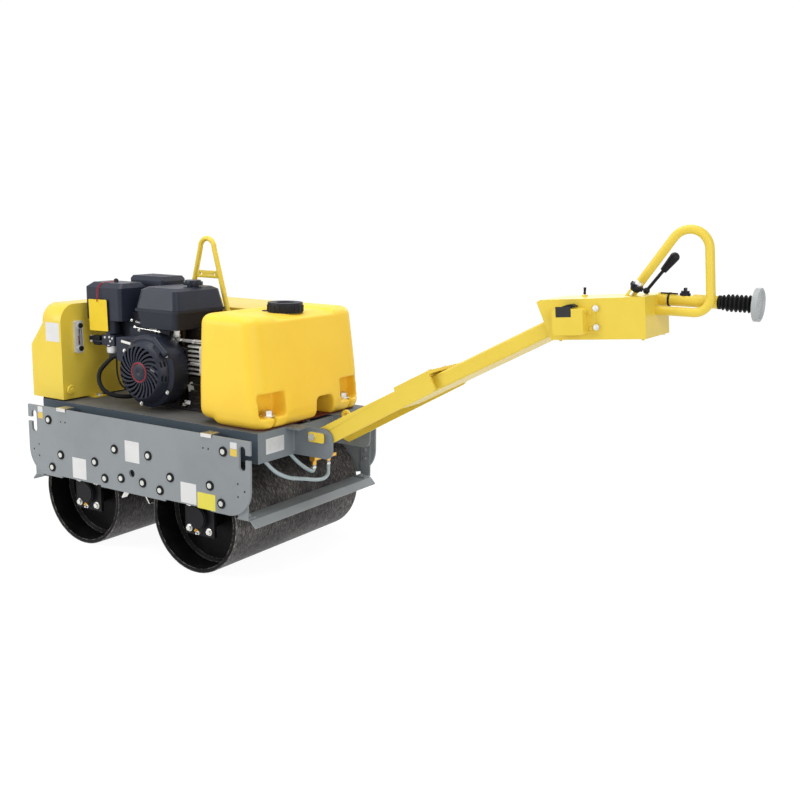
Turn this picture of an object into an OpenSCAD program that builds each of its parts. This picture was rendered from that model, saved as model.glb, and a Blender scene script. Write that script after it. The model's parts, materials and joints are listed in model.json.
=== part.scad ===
// Walk-behind tandem vibratory roller, standing on its two drums.
// Millimetres, +Z up, +X towards the handle, -Y is the side with the recoil starter.
// Places are worked out from a datum under the middle of the wheelbase, and
// every node is then moved so that the origin lies under the middle of the whole roller.

/* [Drums] */
// Outer diameter of each drum
drum_d = 356; // [330:1:380]
// Length of each drum across the machine
drum_w = 650; // [600:1:700]
// Wall of the drum shell
drum_wall = 14; // [8:1:18]
// Distance between the two drum axles
wheelbase = 520; // [490:1:560]
// Depth from the drum's edge to its end disc
disc_depth = 90; // [70:1:120]
// Thickness of the drum's end disc
disc_t = 12; // [8:1:20]

/* [Side plates] */
// Gap between a drum's edge and the side plate
side_gap = 7; // [4:0.5:12]
// Thickness of a side plate
plate_t = 8; // [5:0.5:12]
// Reach of the side plates beyond the drums
plate_over = 71; // [60:1:80]
// Lower edge of the side plates above the axles
plate_rise = 43; // [30:1:55]
// Top edge of the side plates below the deck's top face
plate_drop = 13; // [8:1:20]
// Radius of the lower corners of a side plate
plate_corner_r = 90; // [50:1:110]
// Bolt circle round each axle, inside the drum's outer radius
carrier_inset = 26; // [22:1:32]
// Radius of the bolt circle round the exciter
exciter_r = 83; // [70:1:95]

/* [Deck] */
// Gap between the deck and a side plate, bridged by rubber mounts
mount_gap = 47; // [38:1:60]
// Reach of the deck beyond the drums
deck_over = 56; // [45:1:65]
// Gap between the top of the drums and the deck's beams
deck_clear = 26; // [20:1:34]
// Height of the deck's side channels and end beams
beam_h = 96; // [80:1:110]
// Wall of the deck's channels and beams
beam_t = 8; // [5:0.5:12]
// Thickness of the deck plate
deck_t = 6; // [4:0.5:8]

/* [Arm] */
// Width of the lower arm over its two side walls
arm_w = 197; // [180:1:210]
// Depth of the lower arm at the pivot
arm_h = 62; // [55:1:70]
// Wall of the lower arm
arm_t = 8; // [5:0.5:10]
// Length of the lower arm from the pivot
arm_l = 474; // [440:1:500]
// Slope of the arm above the horizontal
arm_angle = 28; // [20:1:35]
// Width of the upper arm
upper_w = 150; // [130:1:165]
// Depth of the upper arm
upper_h = 44; // [38:1:48]
// Far end of the upper arm from the pivot
upper_end = 905; // [860:1:940]
// Diameter of the arm's pivot pin
pivot_d = 20; // [16:0.5:24]

/* [Console] */
// Width of the control console
console_w = 180; // [160:1:200]
// Diameter of the handle loop's tube
loop_d = 24; // [20:0.5:30]
// Diameter of the tube that carries the stop plate
stop_tube_d = 34; // [28:1:38]
// Diameter of the round stop plate
stop_d = 86; // [80:1:110]
// Travel of the stop plate
stop_travel = 30; // [20:1:34]

/* [Tanks] */
// Length of the hydraulic tank at its foot
oil_l = 158; // [140:1:165]
// Top of the hydraulic tank above the deck
oil_h = 338; // [310:1:350]
// Gap between the water tank's side and the deck's edge
water_inset = 15; // [8:1:30]
// Length of the water tank at its foot
water_l = 278; // [260:1:290]
// Height of the water tank
water_h = 350; // [320:1:360]

/* [Engine] */
// Height of the crankshaft above the deck
crank_h = 134; // [130:1:140]
// Diameter of the recoil starter's face
recoil_d = 192; // [180:1:200]
// Number of curved slots in the recoil grille
grille_slots = 24; // [16:1:26]
// Height of the top of the lifting loop above the deck
hoist_h = 576; // [540:1:600]

/* [Hidden] */
$fn = 48;

yellow = [0.93, 0.8, 0.2];
zinc = [0.8, 0.79, 0.74];
steel = [0.65, 0.66, 0.68];
drum_steel = [0.35, 0.34, 0.33];
grey = [0.5, 0.52, 0.55];
dark_shell = [0.13, 0.14, 0.18];
black = [0.08, 0.08, 0.09];

// Clearances
fit = 0.3;
turn_fit = 0.06;
overrun = 1;

// Places of the drums and the frame
drum_r = drum_d / 2;
axle_x = wheelbase / 2;
axle_z = drum_r;
plate_in = drum_w / 2 + side_gap;
plate_out = plate_in + plate_t;
plate_half = axle_x + drum_r + plate_over;
deck_z = drum_d + deck_clear + beam_h;
plate_low = axle_z + plate_rise;
plate_top = deck_z - plate_drop;
deck_end = axle_x + drum_r + deck_over;
deck_side = plate_in - mount_gap;
beam_low = deck_z - beam_h;
oil_overhang = 49;
oil_front = deck_end + oil_overhang;

// Side plate outline
notch_h = 6;
notch_in = 150;
notch_out = 345;
hook_r = 13;
hook_inset = 31;
hook_drop = 31;
hook_span = 51;
mouth_drop = 44;
mouth_h = 16;
hook_top = plate_top - hook_drop;
hook_low = hook_top - hook_span;
mouth_top = plate_top - mouth_drop;
mouth_low = mouth_top - mouth_h;
grease_hole_r = 13;
grease_hole_rise = 69;
small_hole_r = 3.5;
pair_inset = 169;
pair_gap = 22;
corner_inset = 50;
corner_rise = 106;
corner_gap_x = 27;
corner_gap_z = 20.5;

// Exciter between the drums, hung below the deck's beams
exciter_tube_r = 38;
exciter_bore_r = 20;
exciter_flange_t = 12;
exciter_gap = 11;
exciter_z = beam_low - exciter_tube_r - exciter_gap;

// Bolts of the side plates: an angle from the vertical for each
carrier_r = drum_r - carrier_inset;
carrier_angles = [34, 60];
exciter_angles = [70, 143];
mount_inset = 107;
mount_x = plate_half - mount_inset;
mount_z = plate_top - mouth_drop;
cap_ring_r = 12;
cap_ring_t = 3;
cap_dome_r = 8.5;
cap_dome_h = 5;

// Drum carriers and hubs
carrier_t = 12;
carrier_gap = 32;
carrier_out = plate_in - carrier_gap;
carrier_in = carrier_out - carrier_t;
boss_r = 12;
hub_bolt_r = 60;
hub_r = 50;
axle_r = 25;
axle_short = 6;
hub_cap_r = 38;
hub_cap_t = 18;
housing_gap = 14;
disc_out = drum_w / 2 - disc_depth;
disc_in = disc_out - disc_t;
housing_in = disc_out + housing_gap;
axle_end = carrier_out - axle_short;

// Scrapers
scraper_t = 4;
scraper_out = 60;
scraper_drop = 8;
scraper_gap = 5;

// Handle brackets behind the deck
bracket_out = 108;
bracket_t = 8;
bracket_in = bracket_out - bracket_t;
bracket_l = 150;
pivot_out = 82;
pivot_drop = 28;
pivot_x = deck_end + pivot_out;
pivot_z = deck_z - pivot_drop;
pivot_r = pivot_d / 2;
lock_l = 60;
lock_h = 30;
lock_t = 5;

// Arm sections, in the arm's own frame with the pivot at zero
arm_top = 17;
arm_low = arm_h - arm_top;
arm_start = -50;
arm_taper = 9;
arm_half = arm_w / 2;
web_start = 45;
web_short = 8;
eye_u = 67;
eye_r = 16;
eye_hole_r = 6;
eye_t = 10;
upper_half = upper_w / 2;
upper_start = 300;
upper_top = arm_top - deck_t - fit;
clamp_start = 340;
clamp_l = 150;
clamp_t = 10;
clamp_bolt_u = [372, 446];
clamp_bolt_y = 45;
clamp_bolt_r = 9;

// Console and its controls, in the console's own frame
console_half = console_w / 2;
console_ahead = 247;
console_up = 77;
console_x = pivot_x + upper_end * cos(arm_angle) + console_ahead;
console_z = pivot_z + upper_end * sin(arm_angle) + console_up;
console_tilt = 5.2;
console_l = 306;
console_h = 109;
console_lip = 11;
console_slope = 38;
console_t = 3;
switch_u = -248;
switch_l = 88;
switch_h = 70;
switch_t = 30;
switch_w = -94;
switch_flange = 24;
lever_u = -36;
lever_y = 22;
lever_len = 116;
lever_tilt = 43;
knob_u = -50;
knob_y = -60;
knob_tilt = 36;
toggle_u = -208;
toggle_y = 12;
rocker_w = 20;
rocker_l = 42;
rocker_h = 12;
ball_r = 9;
collar_h = 5;
bat_r = 4;

// Handle loop and stop plate, from the rear edge of the console's lid
loop_r = loop_d / 2;
loop_y = -12;
loop_up_r = 52;
loop_low_r = 42;
loop_ahead = 84;
loop_up = 172;
loop_down = 40;
loop_leg_angle = 55;
loop_lean = 5;
loop_apex_x = console_x + loop_ahead;
loop_apex_z = console_z + loop_up;
loop_low_z = console_z - loop_down;
stop_tube_r = stop_tube_d / 2;
stop_down = 12;
stop_axis_y = 18;
stop_axis_z = console_z - stop_down;
stop_tube_l = 158;
stop_tube_end = console_x + stop_tube_l;
stop_rod_r = 6;
stop_t = 16;
bellows_r = 23;
bellows_l = 92;
bellows_folds = 6;
stop_x = stop_tube_end + bellows_l;
key_ahead = 70;
key_seat_l = 46;
key_seat_w = 18;
key_seat_t = 6;
key_sunk = 5;

// Whole length, for the origin
origin_x = (stop_x + stop_t - oil_front) / 2;

// Hydraulic tank
oil_half = deck_side;
oil_rear = -oil_front + oil_l;
oil_step = 65;
oil_step_z = 190;
oil_slope_z = 270;
oil_corner_r = 62;
oil_low = 6;
foot_l = 34;
foot_w = 56;
foot_t = 4;

// Water tank
water_half = deck_side - water_inset;
water_over = 4;
water_front = deck_end - water_l + water_over;
water_rear = deck_end + water_over;
water_corner_r = 54;
water_edge_r = 30;
water_lean = 35;
water_top = deck_z + water_h;
cap_back = 120;
cap_x = deck_end - cap_back;
cap_r = 60;
cap_h = 24;
cap_drop = 7;
cap_z = water_top - cap_drop;
tether_t = 3;
neck_r = 46;
neck_t = 5;
pocket_in = 145;
pocket_w = 108;
pocket_low = 38;
pocket_h = 76;
pocket_d = 60;
pocket_bolt = 34;
arch_y = 57;
arch_r = 46;
arch_h = 70;
dish_w = 270;
dish_d = 24;
dish_bevel = 22;
dish_ahead = 82;

// Engine, in its own frame with the crankshaft's axis at zero
crank_x = -40;
crank_z = deck_z + crank_h;
crank_bore = 12.5;
rail_h = 4;
base_t = 10;
block_left = -92;
block_right = 98;
block_front = -146;
block_back = 40;
case_r = 92;
foot_inset = 28;
recoil_y = -258;
recoil_r = recoil_d / 2;
recoil_base_r = 108;
badge_r = 29;
grip_turn = 42;
blower_front = -226;
blower_back = -150;
blower_r = 122;
fan_r = 92;
fan_hub_r = 40;
fan_back = -172;
fan_front = -200;
cyl_tilt = 25;
cyl_r = 50;
cyl_start = 92;
cyl_end = 190;
cyl_y = -55;
tank_left = -77;
tank_right = 123;
tank_front = -205;
tank_back = 45;
tank_low = 140;
tank_seam = 201;
tank_top = 276;
tank_corner_r = 20;
fuel_cap_x = 62;
fuel_cap_y = -58;
fuel_cap_r = 33;
fuel_neck_h = 5;
filter_left = -312;
filter_right = -140;
filter_front = -202;
filter_back = -70;
filter_low = 154;
filter_top = 281;
carb_x = -208;
carb_y = -176;
carb_z = 84;
carb_r = 24;
port_y = -127;
port_x = -162;
port_pipe_y = -35;
muff_left = -240;
muff_right = -78;
muff_front = -62;
muff_back = 54;
muff_low = 178;
muff_top = 301;
muff_gap = 12;
guard_t = 3;

// Pump behind the engine, under its cover
pump_front = 170;
pump_back = 262;
pump_r = 45;
pump_end = 22;

// Lifting loop
hoist_y = 72;
hoist_r = 9;
hoist_top = deck_z + hoist_h;
hoist_mid = -31;
hoist_foot = 178;
hoist_arc = 32;
hoist_plate_z = 430;
hoist_plate_h = 26;
hoist_hole_r = 5;

// Water valve under the rear beam
valve_out = 11;
valve_x = deck_end + valve_out;
valve_y = 34;
valve_drop = 30;
valve_z = beam_low - valve_drop;
valve_stem = 19;

module place() translate([-origin_x, 0, 0]) children();

// A flat outline drawn in X and Z, standing from y0 towards +Y
module upright(y0, t) translate([0, y0 + t, 0]) rotate([90, 0, 0]) linear_extrude(t) children();

// A flat outline drawn in Y and Z, standing from x0 towards +X
module crosswise(x0, t) translate([x0, 0, 0]) rotate([90, 0, 90]) linear_extrude(t) children();

module rod_y(x, z, y0, y1, r) translate([x, y0, z]) rotate([-90, 0, 0]) cylinder(h = y1 - y0, r = r);

module rod_x(y, z, x0, x1, r) translate([x0, y, z]) rotate([0, 90, 0]) cylinder(h = x1 - x0, r = r);

module rod_z(x, y, z0, z1, r) translate([x, y, z0]) cylinder(h = z1 - z0, r = r);

module block(x0, x1, y0, y1, z0, z1) translate([x0, y0, z0]) cube([x1 - x0, y1 - y0, z1 - z0]);

module slab(x0, x1, y0, y1, z, t, r) translate([x0, y0, z]) linear_extrude(t) rounded(x1 - x0, y1 - y0, r);

module both_sides() {
    children();
    mirror([0, 1, 0]) children();
}

module both_ends() {
    children();
    mirror([1, 0, 0]) children();
}

module rounded(w, h, r) {
    translate([r, 0]) square([w - 2 * r, h]);
    translate([0, r]) square([w, h - 2 * r]);
    for (x = [r, w - r], y = [r, h - r]) translate([x, y]) circle(r);
}

// A hexagon bolt head on a washer, standing on z = 0
module bolt_head(r) {
    washer_share = 0.3;
    head_share = 0.75;
    rim_share = 1.35;
    cylinder(h = r * washer_share, r = r * rim_share, $fn = 24);
    cylinder(h = r * (washer_share + head_share), r = r, $fn = 6);
}

function polar(x, z, r, a) = [x + r * sin(a), z + r * cos(a)];

// Frame

module plate_outline() difference() {
    union() {
        translate([-plate_half, plate_low + plate_corner_r])
            square([2 * plate_half, plate_top - plate_low - plate_corner_r]);
        translate([-plate_half + plate_corner_r, plate_low])
            square([2 * (plate_half - plate_corner_r), plate_top - plate_low]);
        for (s = [-1, 1]) translate([s * (plate_half - plate_corner_r), plate_low + plate_corner_r])
            circle(plate_corner_r);
    }
    for (s = [0, 1]) mirror([s, 0]) {
        translate([notch_in, plate_low - overrun]) square([notch_out - notch_in, notch_h + overrun]);
        translate([plate_half - hook_inset, 0]) {
            translate([-hook_r, hook_low]) square([2 * hook_r, hook_span]);
            for (z = [hook_low, hook_top]) translate([0, z]) circle(hook_r);
            translate([0, mouth_low]) square([hook_inset + overrun, mouth_h]);
        }
        small_holes();
        for (p = bolt_places()) translate(p) circle(boss_r / 2);
    }
    translate([0, plate_low + grease_hole_rise]) circle(grease_hole_r);
}

module small_holes() {
    for (x = [0, pair_gap]) translate([plate_half - pair_inset - x, mount_z]) circle(small_hole_r);
    for (k = [0, 1, 2])
        translate([plate_half - corner_inset + (k % 2) * corner_gap_x,
            plate_low + corner_rise - k * corner_gap_z]) circle(small_hole_r);
}

function bolt_places() = concat(
    [for (a = carrier_angles, s = [-1, 1]) polar(axle_x, axle_z, carrier_r, s * a)],
    [for (a = exciter_angles) polar(0, exciter_z, exciter_r, a)],
    [[mount_x, mount_z]]);

module side_plate_left() place() color(steel) upright(-plate_out, plate_t) plate_outline();

module side_plate_right() place() color(steel) upright(plate_in, plate_t) plate_outline();

module side_bolts() place() color(zinc) both_sides() both_ends()
    for (p = bolt_places()) translate([p[0], -plate_out, p[1]]) rotate([90, 0, 0]) {
        cylinder(h = cap_ring_t, r = cap_ring_r, $fn = 24);
        cylinder(h = cap_dome_h, r = cap_dome_r, $fn = 24);
    }

module deck_frame() place() color(grey) {
    lip = 40;
    notch_l = 60;
    difference() {
        block(-deck_end, deck_end, -deck_side, deck_side, deck_z - deck_t, deck_z);
        block(deck_end - notch_l, deck_end + overrun, -bracket_in, bracket_in,
            deck_z - deck_t - overrun, deck_z + overrun);
    }
    both_sides() {
        block(-deck_end, deck_end, -deck_side, -deck_side + beam_t, beam_low, deck_z - deck_t);
        block(-deck_end, deck_end, -deck_side + beam_t, -deck_side + lip, beam_low, beam_low + beam_t);
        handle_bracket();
    }
    both_ends() block(deck_end - beam_t, deck_end, -deck_side + beam_t, deck_side - beam_t,
        beam_low, deck_z - deck_t);
}

// Bracket of the arm's pivot, with a drilled tie plate over its root
module handle_bracket() {
    upper_r = 34;
    lower_r = 26;
    tie_l = 52;
    tie_w = 44;
    difference() {
        union() {
            upright(-bracket_out, bracket_t) {
                translate([deck_end, beam_low]) square([bracket_l - upper_r, beam_h]);
                translate([deck_end, beam_low + lower_r])
                    square([bracket_l, beam_h - upper_r - lower_r]);
                translate([deck_end + bracket_l - upper_r, deck_z - upper_r]) circle(upper_r);
                translate([deck_end + bracket_l - upper_r - lower_r, beam_low])
                    square([upper_r, lower_r]);
                translate([deck_end + bracket_l - lower_r, beam_low + lower_r]) circle(lower_r);
            }
            block(deck_end, deck_end + tie_l, -bracket_out - tie_w, -bracket_out, deck_z - deck_t, deck_z);
        }
        rod_y(pivot_x, pivot_z, -bracket_out - overrun, -bracket_in + overrun, pivot_r + turn_fit);
        rod_z(deck_end + tie_l / 2, -bracket_out - tie_w / 2, deck_z - 2 * deck_t, deck_z + overrun,
            lock_t);
    }
}

// Cylindrical rubber buffers between each side plate and the deck's side channel
module rubber_mounts() place() color(black) both_sides() both_ends()
    rod_y(mount_x, mount_z, -plate_in, -deck_side, 2 * boss_r);

// Bent zinc clips over the side plates' top edge, and the strips under the exciter's feet
module mount_brackets() place() color(zinc) {
    clip_inset = 175;
    clip_w = 44;
    clip_t = 4;
    clip_in = 38;
    x0 = plate_half - clip_inset - clip_w / 2;
    both_sides() both_ends() {
        block(x0, x0 + clip_w, -plate_out, -plate_out + clip_in, plate_top, plate_top + clip_t);
        block(x0, x0 + clip_w, -plate_out - clip_t, -plate_out, plate_top - 2 * clip_t, plate_top + clip_t);
        block(x0, x0 + clip_w, -plate_in, -plate_in + clip_t, plate_top - 6 * clip_t, plate_top);
    }
    both_sides() for (s = [-1, 1]) upright(-plate_in + clip_t, clip_w / 2) polygon([
        [s * lug_in, lug_low], [s * lug_out, lug_low], [s * (lug_out + lug_l / 3), lug_low - lug_l / 2],
        [s * (lug_out + lug_l / 3 - clip_t), lug_low - lug_l / 2 - clip_t / 2], [s * lug_out - s * clip_t,
        lug_low - clip_t], [s * lug_in, lug_low - clip_t]]);
}

// Drums and their carriers

module drum() {
    tube_r = 40;
    weld = 10;
    rotate([90, 0, 0]) rotate_extrude($fn = 96) {
        translate([drum_r - drum_wall, -drum_w / 2]) square([drum_wall, drum_w]);
        for (s = [0, 1]) mirror([0, s]) {
            translate([0, disc_in]) square([drum_r - drum_wall, disc_t]);
            polygon([
                [drum_r - drum_wall, disc_out], [drum_r - drum_wall - weld, disc_out],
                [drum_r - drum_wall, disc_out + weld]]);
            translate([0, disc_out]) square([axle_r - turn_fit, axle_end - disc_out]);
            translate([0, disc_out]) square([axle_r + weld, housing_in - disc_out - fit]);
        }
        square([tube_r, disc_in]);
        mirror([0, 1]) square([tube_r, disc_in]);
    }
}

module front_drum() place() color(drum_steel) translate([-axle_x, 0, axle_z]) drum();

module rear_drum() place() color(drum_steel) translate([axle_x, 0, axle_z]) drum();

module carrier_outline() {
    span = carrier_r * sin(carrier_angles[1]);
    waist = hub_r + boss_r;
    polygon([
        [-waist, -waist], [waist, -waist], [waist, waist / 2],
        [span, carrier_r * cos(carrier_angles[1]) - boss_r],
        [span, carrier_r * cos(carrier_angles[1])],
        [carrier_r * sin(carrier_angles[0]), carrier_r * cos(carrier_angles[0])],
        [-carrier_r * sin(carrier_angles[0]), carrier_r * cos(carrier_angles[0])],
        [-span, carrier_r * cos(carrier_angles[1])],
        [-span, carrier_r * cos(carrier_angles[1]) - boss_r],
        [-waist, waist / 2]]);
}

module carrier() {
    difference() {
        union() {
            upright(-carrier_out, carrier_t) carrier_outline();
            for (a = carrier_angles, s = [-1, 1]) {
                p = polar(0, 0, carrier_r - boss_r / 2, s * a);
                rod_y(p[0], p[1], -plate_in, -carrier_in, boss_r);
            }
            rod_y(0, 0, -carrier_in, -housing_in, hub_r);
        }
        rod_y(0, 0, -carrier_out - overrun, -housing_in + overrun, axle_r);
    }
}

module drum_carriers() place() color(black) both_sides()
    for (s = [-1, 1]) translate([s * axle_x, 0, axle_z]) carrier();

module hub_caps() place() color(black) both_ends() {
    rim = 4;
    translate([axle_x, -carrier_out, axle_z]) rotate([90, 0, 0]) rotate_extrude() {
        square([hub_cap_r, hub_cap_t - rim]);
        square([hub_cap_r - rim, hub_cap_t]);
    }
}

// Nuts of the bearing flanges and the grease nipple below each cap
module hub_fasteners() place() color(zinc) both_sides() both_ends()
    translate([axle_x, -carrier_out, axle_z]) rotate([90, 0, 0]) {
        nut_r = 9;
        nipple_r = 3.5;
        for (a = [45:90:315]) translate([hub_bolt_r * cos(a), hub_bolt_r * sin(a), 0]) bolt_head(nut_r);
        translate([0, -hub_bolt_r + nut_r, 0]) {
            cylinder(h = 2 * nut_r, r = nipple_r);
            cylinder(h = nut_r, r = 2 * nipple_r, $fn = 6);
        }
    }

// Hydraulic travel motors on the outside of the right-hand carriers
module travel_motors() place() color(black) both_ends() {
    port_r = 9;
    flange = 10;
    motor_end = plate_in - flange * fit;
    translate([axle_x, carrier_out, axle_z]) rotate([-90, 0, 0]) {
        cylinder(h = motor_end - carrier_out - flange, r = hub_cap_r);
        cylinder(h = flange, r = hub_cap_r + port_r / 2);
    }
    for (s = [-1, 1]) translate([axle_x + s * 2 * port_r, carrier_out, axle_z])
        rotate([-90, 0, 0]) cylinder(h = motor_end - carrier_out, r = port_r);
}

module scraper_outline() {
    t = scraper_t;
    bar_x = axle_x + drum_r + scraper_out;
    ridge_z = plate_low - scraper_drop;
    rise = ridge_z - axle_z;
    blade_x = axle_x + sqrt(drum_r * drum_r - rise * rise) + scraper_gap;
    polygon([
        [blade_x, ridge_z], [blade_x, ridge_z - t], [bar_x - t, ridge_z - t],
        [bar_x + 4 * t, ridge_z - 6 * t], [bar_x + 5 * t, ridge_z - 5 * t], [bar_x, ridge_z]]);
}

module rear_scraper() place() color(grey)
    upright(-drum_w / 2, drum_w) scraper_outline();

module front_scraper() place() color(grey)
    mirror([1, 0, 0]) upright(-drum_w / 2, drum_w) scraper_outline();

// Straps that carry the scrapers from the side plates
module scraper_straps() place() color(black) both_sides() both_ends() {
    t = 6;
    w = 40;
    strap_inset = 58;
    strap_x = plate_half - strap_inset;
    strap_z = plate_low - scraper_drop;
    bolt_r = 6;
    block(strap_x, strap_x + w, -plate_in, -plate_in + t, strap_z, strap_z + 3 * w);
    block(strap_x, strap_x + w, -plate_in + t, -plate_in + w, strap_z, strap_z + t);
    translate([strap_x + w / 2, -plate_in + w - 2 * bolt_r, strap_z + t]) bolt_head(bolt_r);
    for (k = [1.6, 2.4]) translate([strap_x + w / 2, -plate_in + t, strap_z + k * w])
        rotate([-90, 0, 0]) bolt_head(bolt_r);
}

// Exciter between the drums: two feet hang below each flange
lug_in = 10;
lug_out = 46;
lug_l = 60;
lug_low = exciter_z - exciter_r - boss_r - lug_l / 5;

module exciter_housing() place() color(black) {
    wall = 6;
    difference() {
        union() {
            rod_y(0, exciter_z, -plate_in, plate_in, exciter_tube_r);
            both_sides() rod_y(0, exciter_z, -plate_in, -plate_in + exciter_flange_t, exciter_r + boss_r);
            both_sides() for (s = [-1, 1]) block(min(s * lug_in, s * lug_out), max(s * lug_in, s * lug_out),
                -plate_in, -plate_in + 2 * exciter_flange_t, lug_low, exciter_z - exciter_r / 2);
        }
        rod_y(0, exciter_z, -plate_in + 2 * exciter_flange_t, plate_in - 2 * exciter_flange_t,
            exciter_tube_r - wall);
        rod_y(0, exciter_z, -plate_in + wall, plate_in + overrun, exciter_bore_r);
        translate([0, 0, exciter_z]) both_sides() block(-exciter_r - 2 * boss_r, exciter_r + 2 * boss_r,
            -plate_in - overrun, -plate_in + exciter_flange_t + overrun, exciter_r, exciter_r + 2 * boss_r);
    }
}

// Round shaft with an eccentric half weight along its middle
module exciter_shaft() place() color(steel) {
    weight_gap = 9;
    shaft_gap = 10;
    weight_r = exciter_tube_r - weight_gap;
    rod_y(0, exciter_z, -plate_in + shaft_gap, plate_in - shaft_gap, exciter_bore_r - turn_fit);
    intersection() {
        rod_y(0, exciter_z, -plate_in / 2, plate_in / 2, weight_r);
        block(-weight_r, weight_r, -plate_in, plate_in, exciter_z - weight_r, exciter_z);
    }
}

// Perforated water pipe over each drum
module sprinkler_pipes() place() color(steel) both_ends() {
    pipe_r = 9;
    pipe_x = axle_x + drum_r / 2;
    pipe_z = beam_low - 2 * pipe_r;
    hole_r = 1.5;
    holes = 9;
    pitch = 2 * deck_side / (holes + 1);
    difference() {
        rod_y(pipe_x, pipe_z, -deck_side + beam_t, deck_side - beam_t, pipe_r);
        for (k = [1:1:holes]) translate([pipe_x, -deck_side + k * pitch, pipe_z - pipe_r - overrun])
            cylinder(h = pipe_r, r = hole_r);
    }
    for (s = [-1, 1]) block(pipe_x - pipe_r, pipe_x + pipe_r, s * deck_side / 2 - pipe_r,
        s * deck_side / 2 + pipe_r, pipe_z + pipe_r / 2, deck_z - deck_t);
}

// Tanks

module oil_side() {
    polygon([
        [-oil_front, deck_z + oil_low], [oil_rear, deck_z + oil_low], [oil_rear, deck_z + oil_h],
        [-oil_front + oil_step, deck_z + oil_h], [-oil_front + oil_step, deck_z + oil_slope_z],
        [-oil_front, deck_z + oil_step_z]]);
}

module oil_arch() {
    translate([-oil_half, deck_z]) square([2 * oil_half, oil_h - oil_corner_r]);
    translate([-oil_half + oil_corner_r, deck_z]) square([2 * (oil_half - oil_corner_r), oil_h]);
    for (s = [-1, 1]) translate([s * (oil_half - oil_corner_r), deck_z + oil_h - oil_corner_r])
        circle(oil_corner_r, $fn = 64);
}

module hydraulic_tank() place() color(yellow) {
    plug_r = 13;
    plug_inset = 28;
    plug_rise = 36;
    intersection() {
        upright(-oil_half, 2 * oil_half) oil_side();
        crosswise(-oil_front - overrun, oil_l + 2 * overrun) oil_arch();
    }
    for (s = [-1, 1]) translate([0, s * oil_half / 2, deck_z]) {
        block(-deck_end + beam_t, oil_rear - 2 * foot_t, -foot_w / 2, foot_w / 2, 0, oil_low);
        block(oil_rear - 2 * foot_t, oil_rear + foot_l, -foot_w / 2, foot_w / 2, 0, foot_t);
    }
    translate([oil_rear, -oil_half + plug_inset, deck_z + plug_rise]) rotate([0, 90, 0]) {
        cylinder(h = plug_r / 2, r = plug_r);
        cylinder(h = plug_r, r = plug_r * 3 / 4, $fn = 6);
    }
}

// Sight gauge in its aluminium rail
module level_gauge() place() color(steel) {
    gauge_inset = 70;
    gauge_w = 34;
    gauge_h = 112;
    gauge_rise = 166;
    rail_t = 12;
    screw_r = 8;
    y = -oil_half + gauge_inset;
    low = deck_z + gauge_rise;
    difference() {
        translate([0, y - gauge_w / 2, low]) crosswise(oil_rear, rail_t)
            rounded(gauge_w, gauge_h, rail_t / 2);
        translate([0, y - gauge_w / 6, low + 2 * screw_r + rail_t])
            crosswise(oil_rear + rail_t / 2, rail_t)
                square([gauge_w / 3, gauge_h - 4 * screw_r - 2 * rail_t]);
    }
    for (z = [low + 2 * screw_r, low + gauge_h - 2 * screw_r])
        translate([oil_rear + rail_t, y, z]) rotate([0, 90, 0]) bolt_head(screw_r);
}

// Breather on the hydraulic tank's top
module tank_plugs() place() color(black) {
    breather_r = 24;
    breather_h = 30;
    breather_in = 42;
    translate([oil_rear - breather_in, oil_half / 3, deck_z + oil_h]) {
        cylinder(h = breather_h, r = breather_r / 2);
        translate([0, 0, breather_h / 3]) cylinder(h = 2 * breather_h / 3, r = breather_r);
    }
}

// A disc with a round edge, for the moulding's corners
module cushion(x, y, z) translate([x, y, z]) rotate_extrude($fn = 36) {
    translate([0, -water_edge_r]) square([water_corner_r - water_edge_r, 2 * water_edge_r]);
    translate([water_corner_r - water_edge_r, 0]) intersection() {
        circle(water_edge_r, $fn = 28);
        translate([0, -water_edge_r]) square([water_edge_r, 2 * water_edge_r]);
    }
}

module water_body() {
    r = water_corner_r;
    half = water_half - r;
    low = deck_z + water_edge_r;
    high = water_top - water_edge_r;
    foot_in = 50;
    foot_h = 16;
    front_lean = 8;
    hull() for (s = [-1, 1]) {
        cushion(water_front + r, s * half, low + foot_h);
        cushion(water_front + r + front_lean, s * half, high);
        cushion(water_rear - r, s * half, low + foot_h);
        cushion(water_rear - r - water_lean, s * half, high);
    }
    hull() for (s = [-1, 1]) {
        cushion(water_front + r + foot_in, s * half, low);
        cushion(water_rear - r, s * half, low);
    }
}

module water_tank() place() color([0.98, 0.82, 0.2]) {
    slot_w = 10;
    difference() {
        union() {
            difference() {
                water_body();
                dish();
            }
            translate([cap_x, 0, cap_z - dish_d]) cylinder(h = cap_h + dish_d, r = neck_r);
        }
        translate([cap_x, 0, cap_z - 3 * cap_h]) cylinder(h = 5 * cap_h, r = neck_r - neck_t);
        arch();
        for (s = [-1, 1]) translate([0, s * (pocket_in + pocket_w / 2), 0]) {
            block(deck_end - pocket_d, deck_end + pocket_d, -pocket_w / 2, pocket_w / 2,
                deck_z + pocket_low, deck_z + pocket_low + pocket_h);
            block(deck_end - pocket_d, deck_end + pocket_d, -slot_w / 2, slot_w / 2,
                deck_z - overrun, deck_z + pocket_low + overrun);
        }
    }
}

module arch() crosswise(water_front - overrun, water_l + 2 * overrun) translate([arch_y, deck_z]) {
    translate([-arch_r, -overrun]) square([2 * arch_r, arch_h - arch_r / 2]);
    translate([-arch_r / 2, -overrun]) square([arch_r, arch_h + overrun]);
    for (s = [-1, 1]) translate([s * arch_r / 2, arch_h - arch_r / 2]) circle(arch_r / 2);
}

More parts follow.
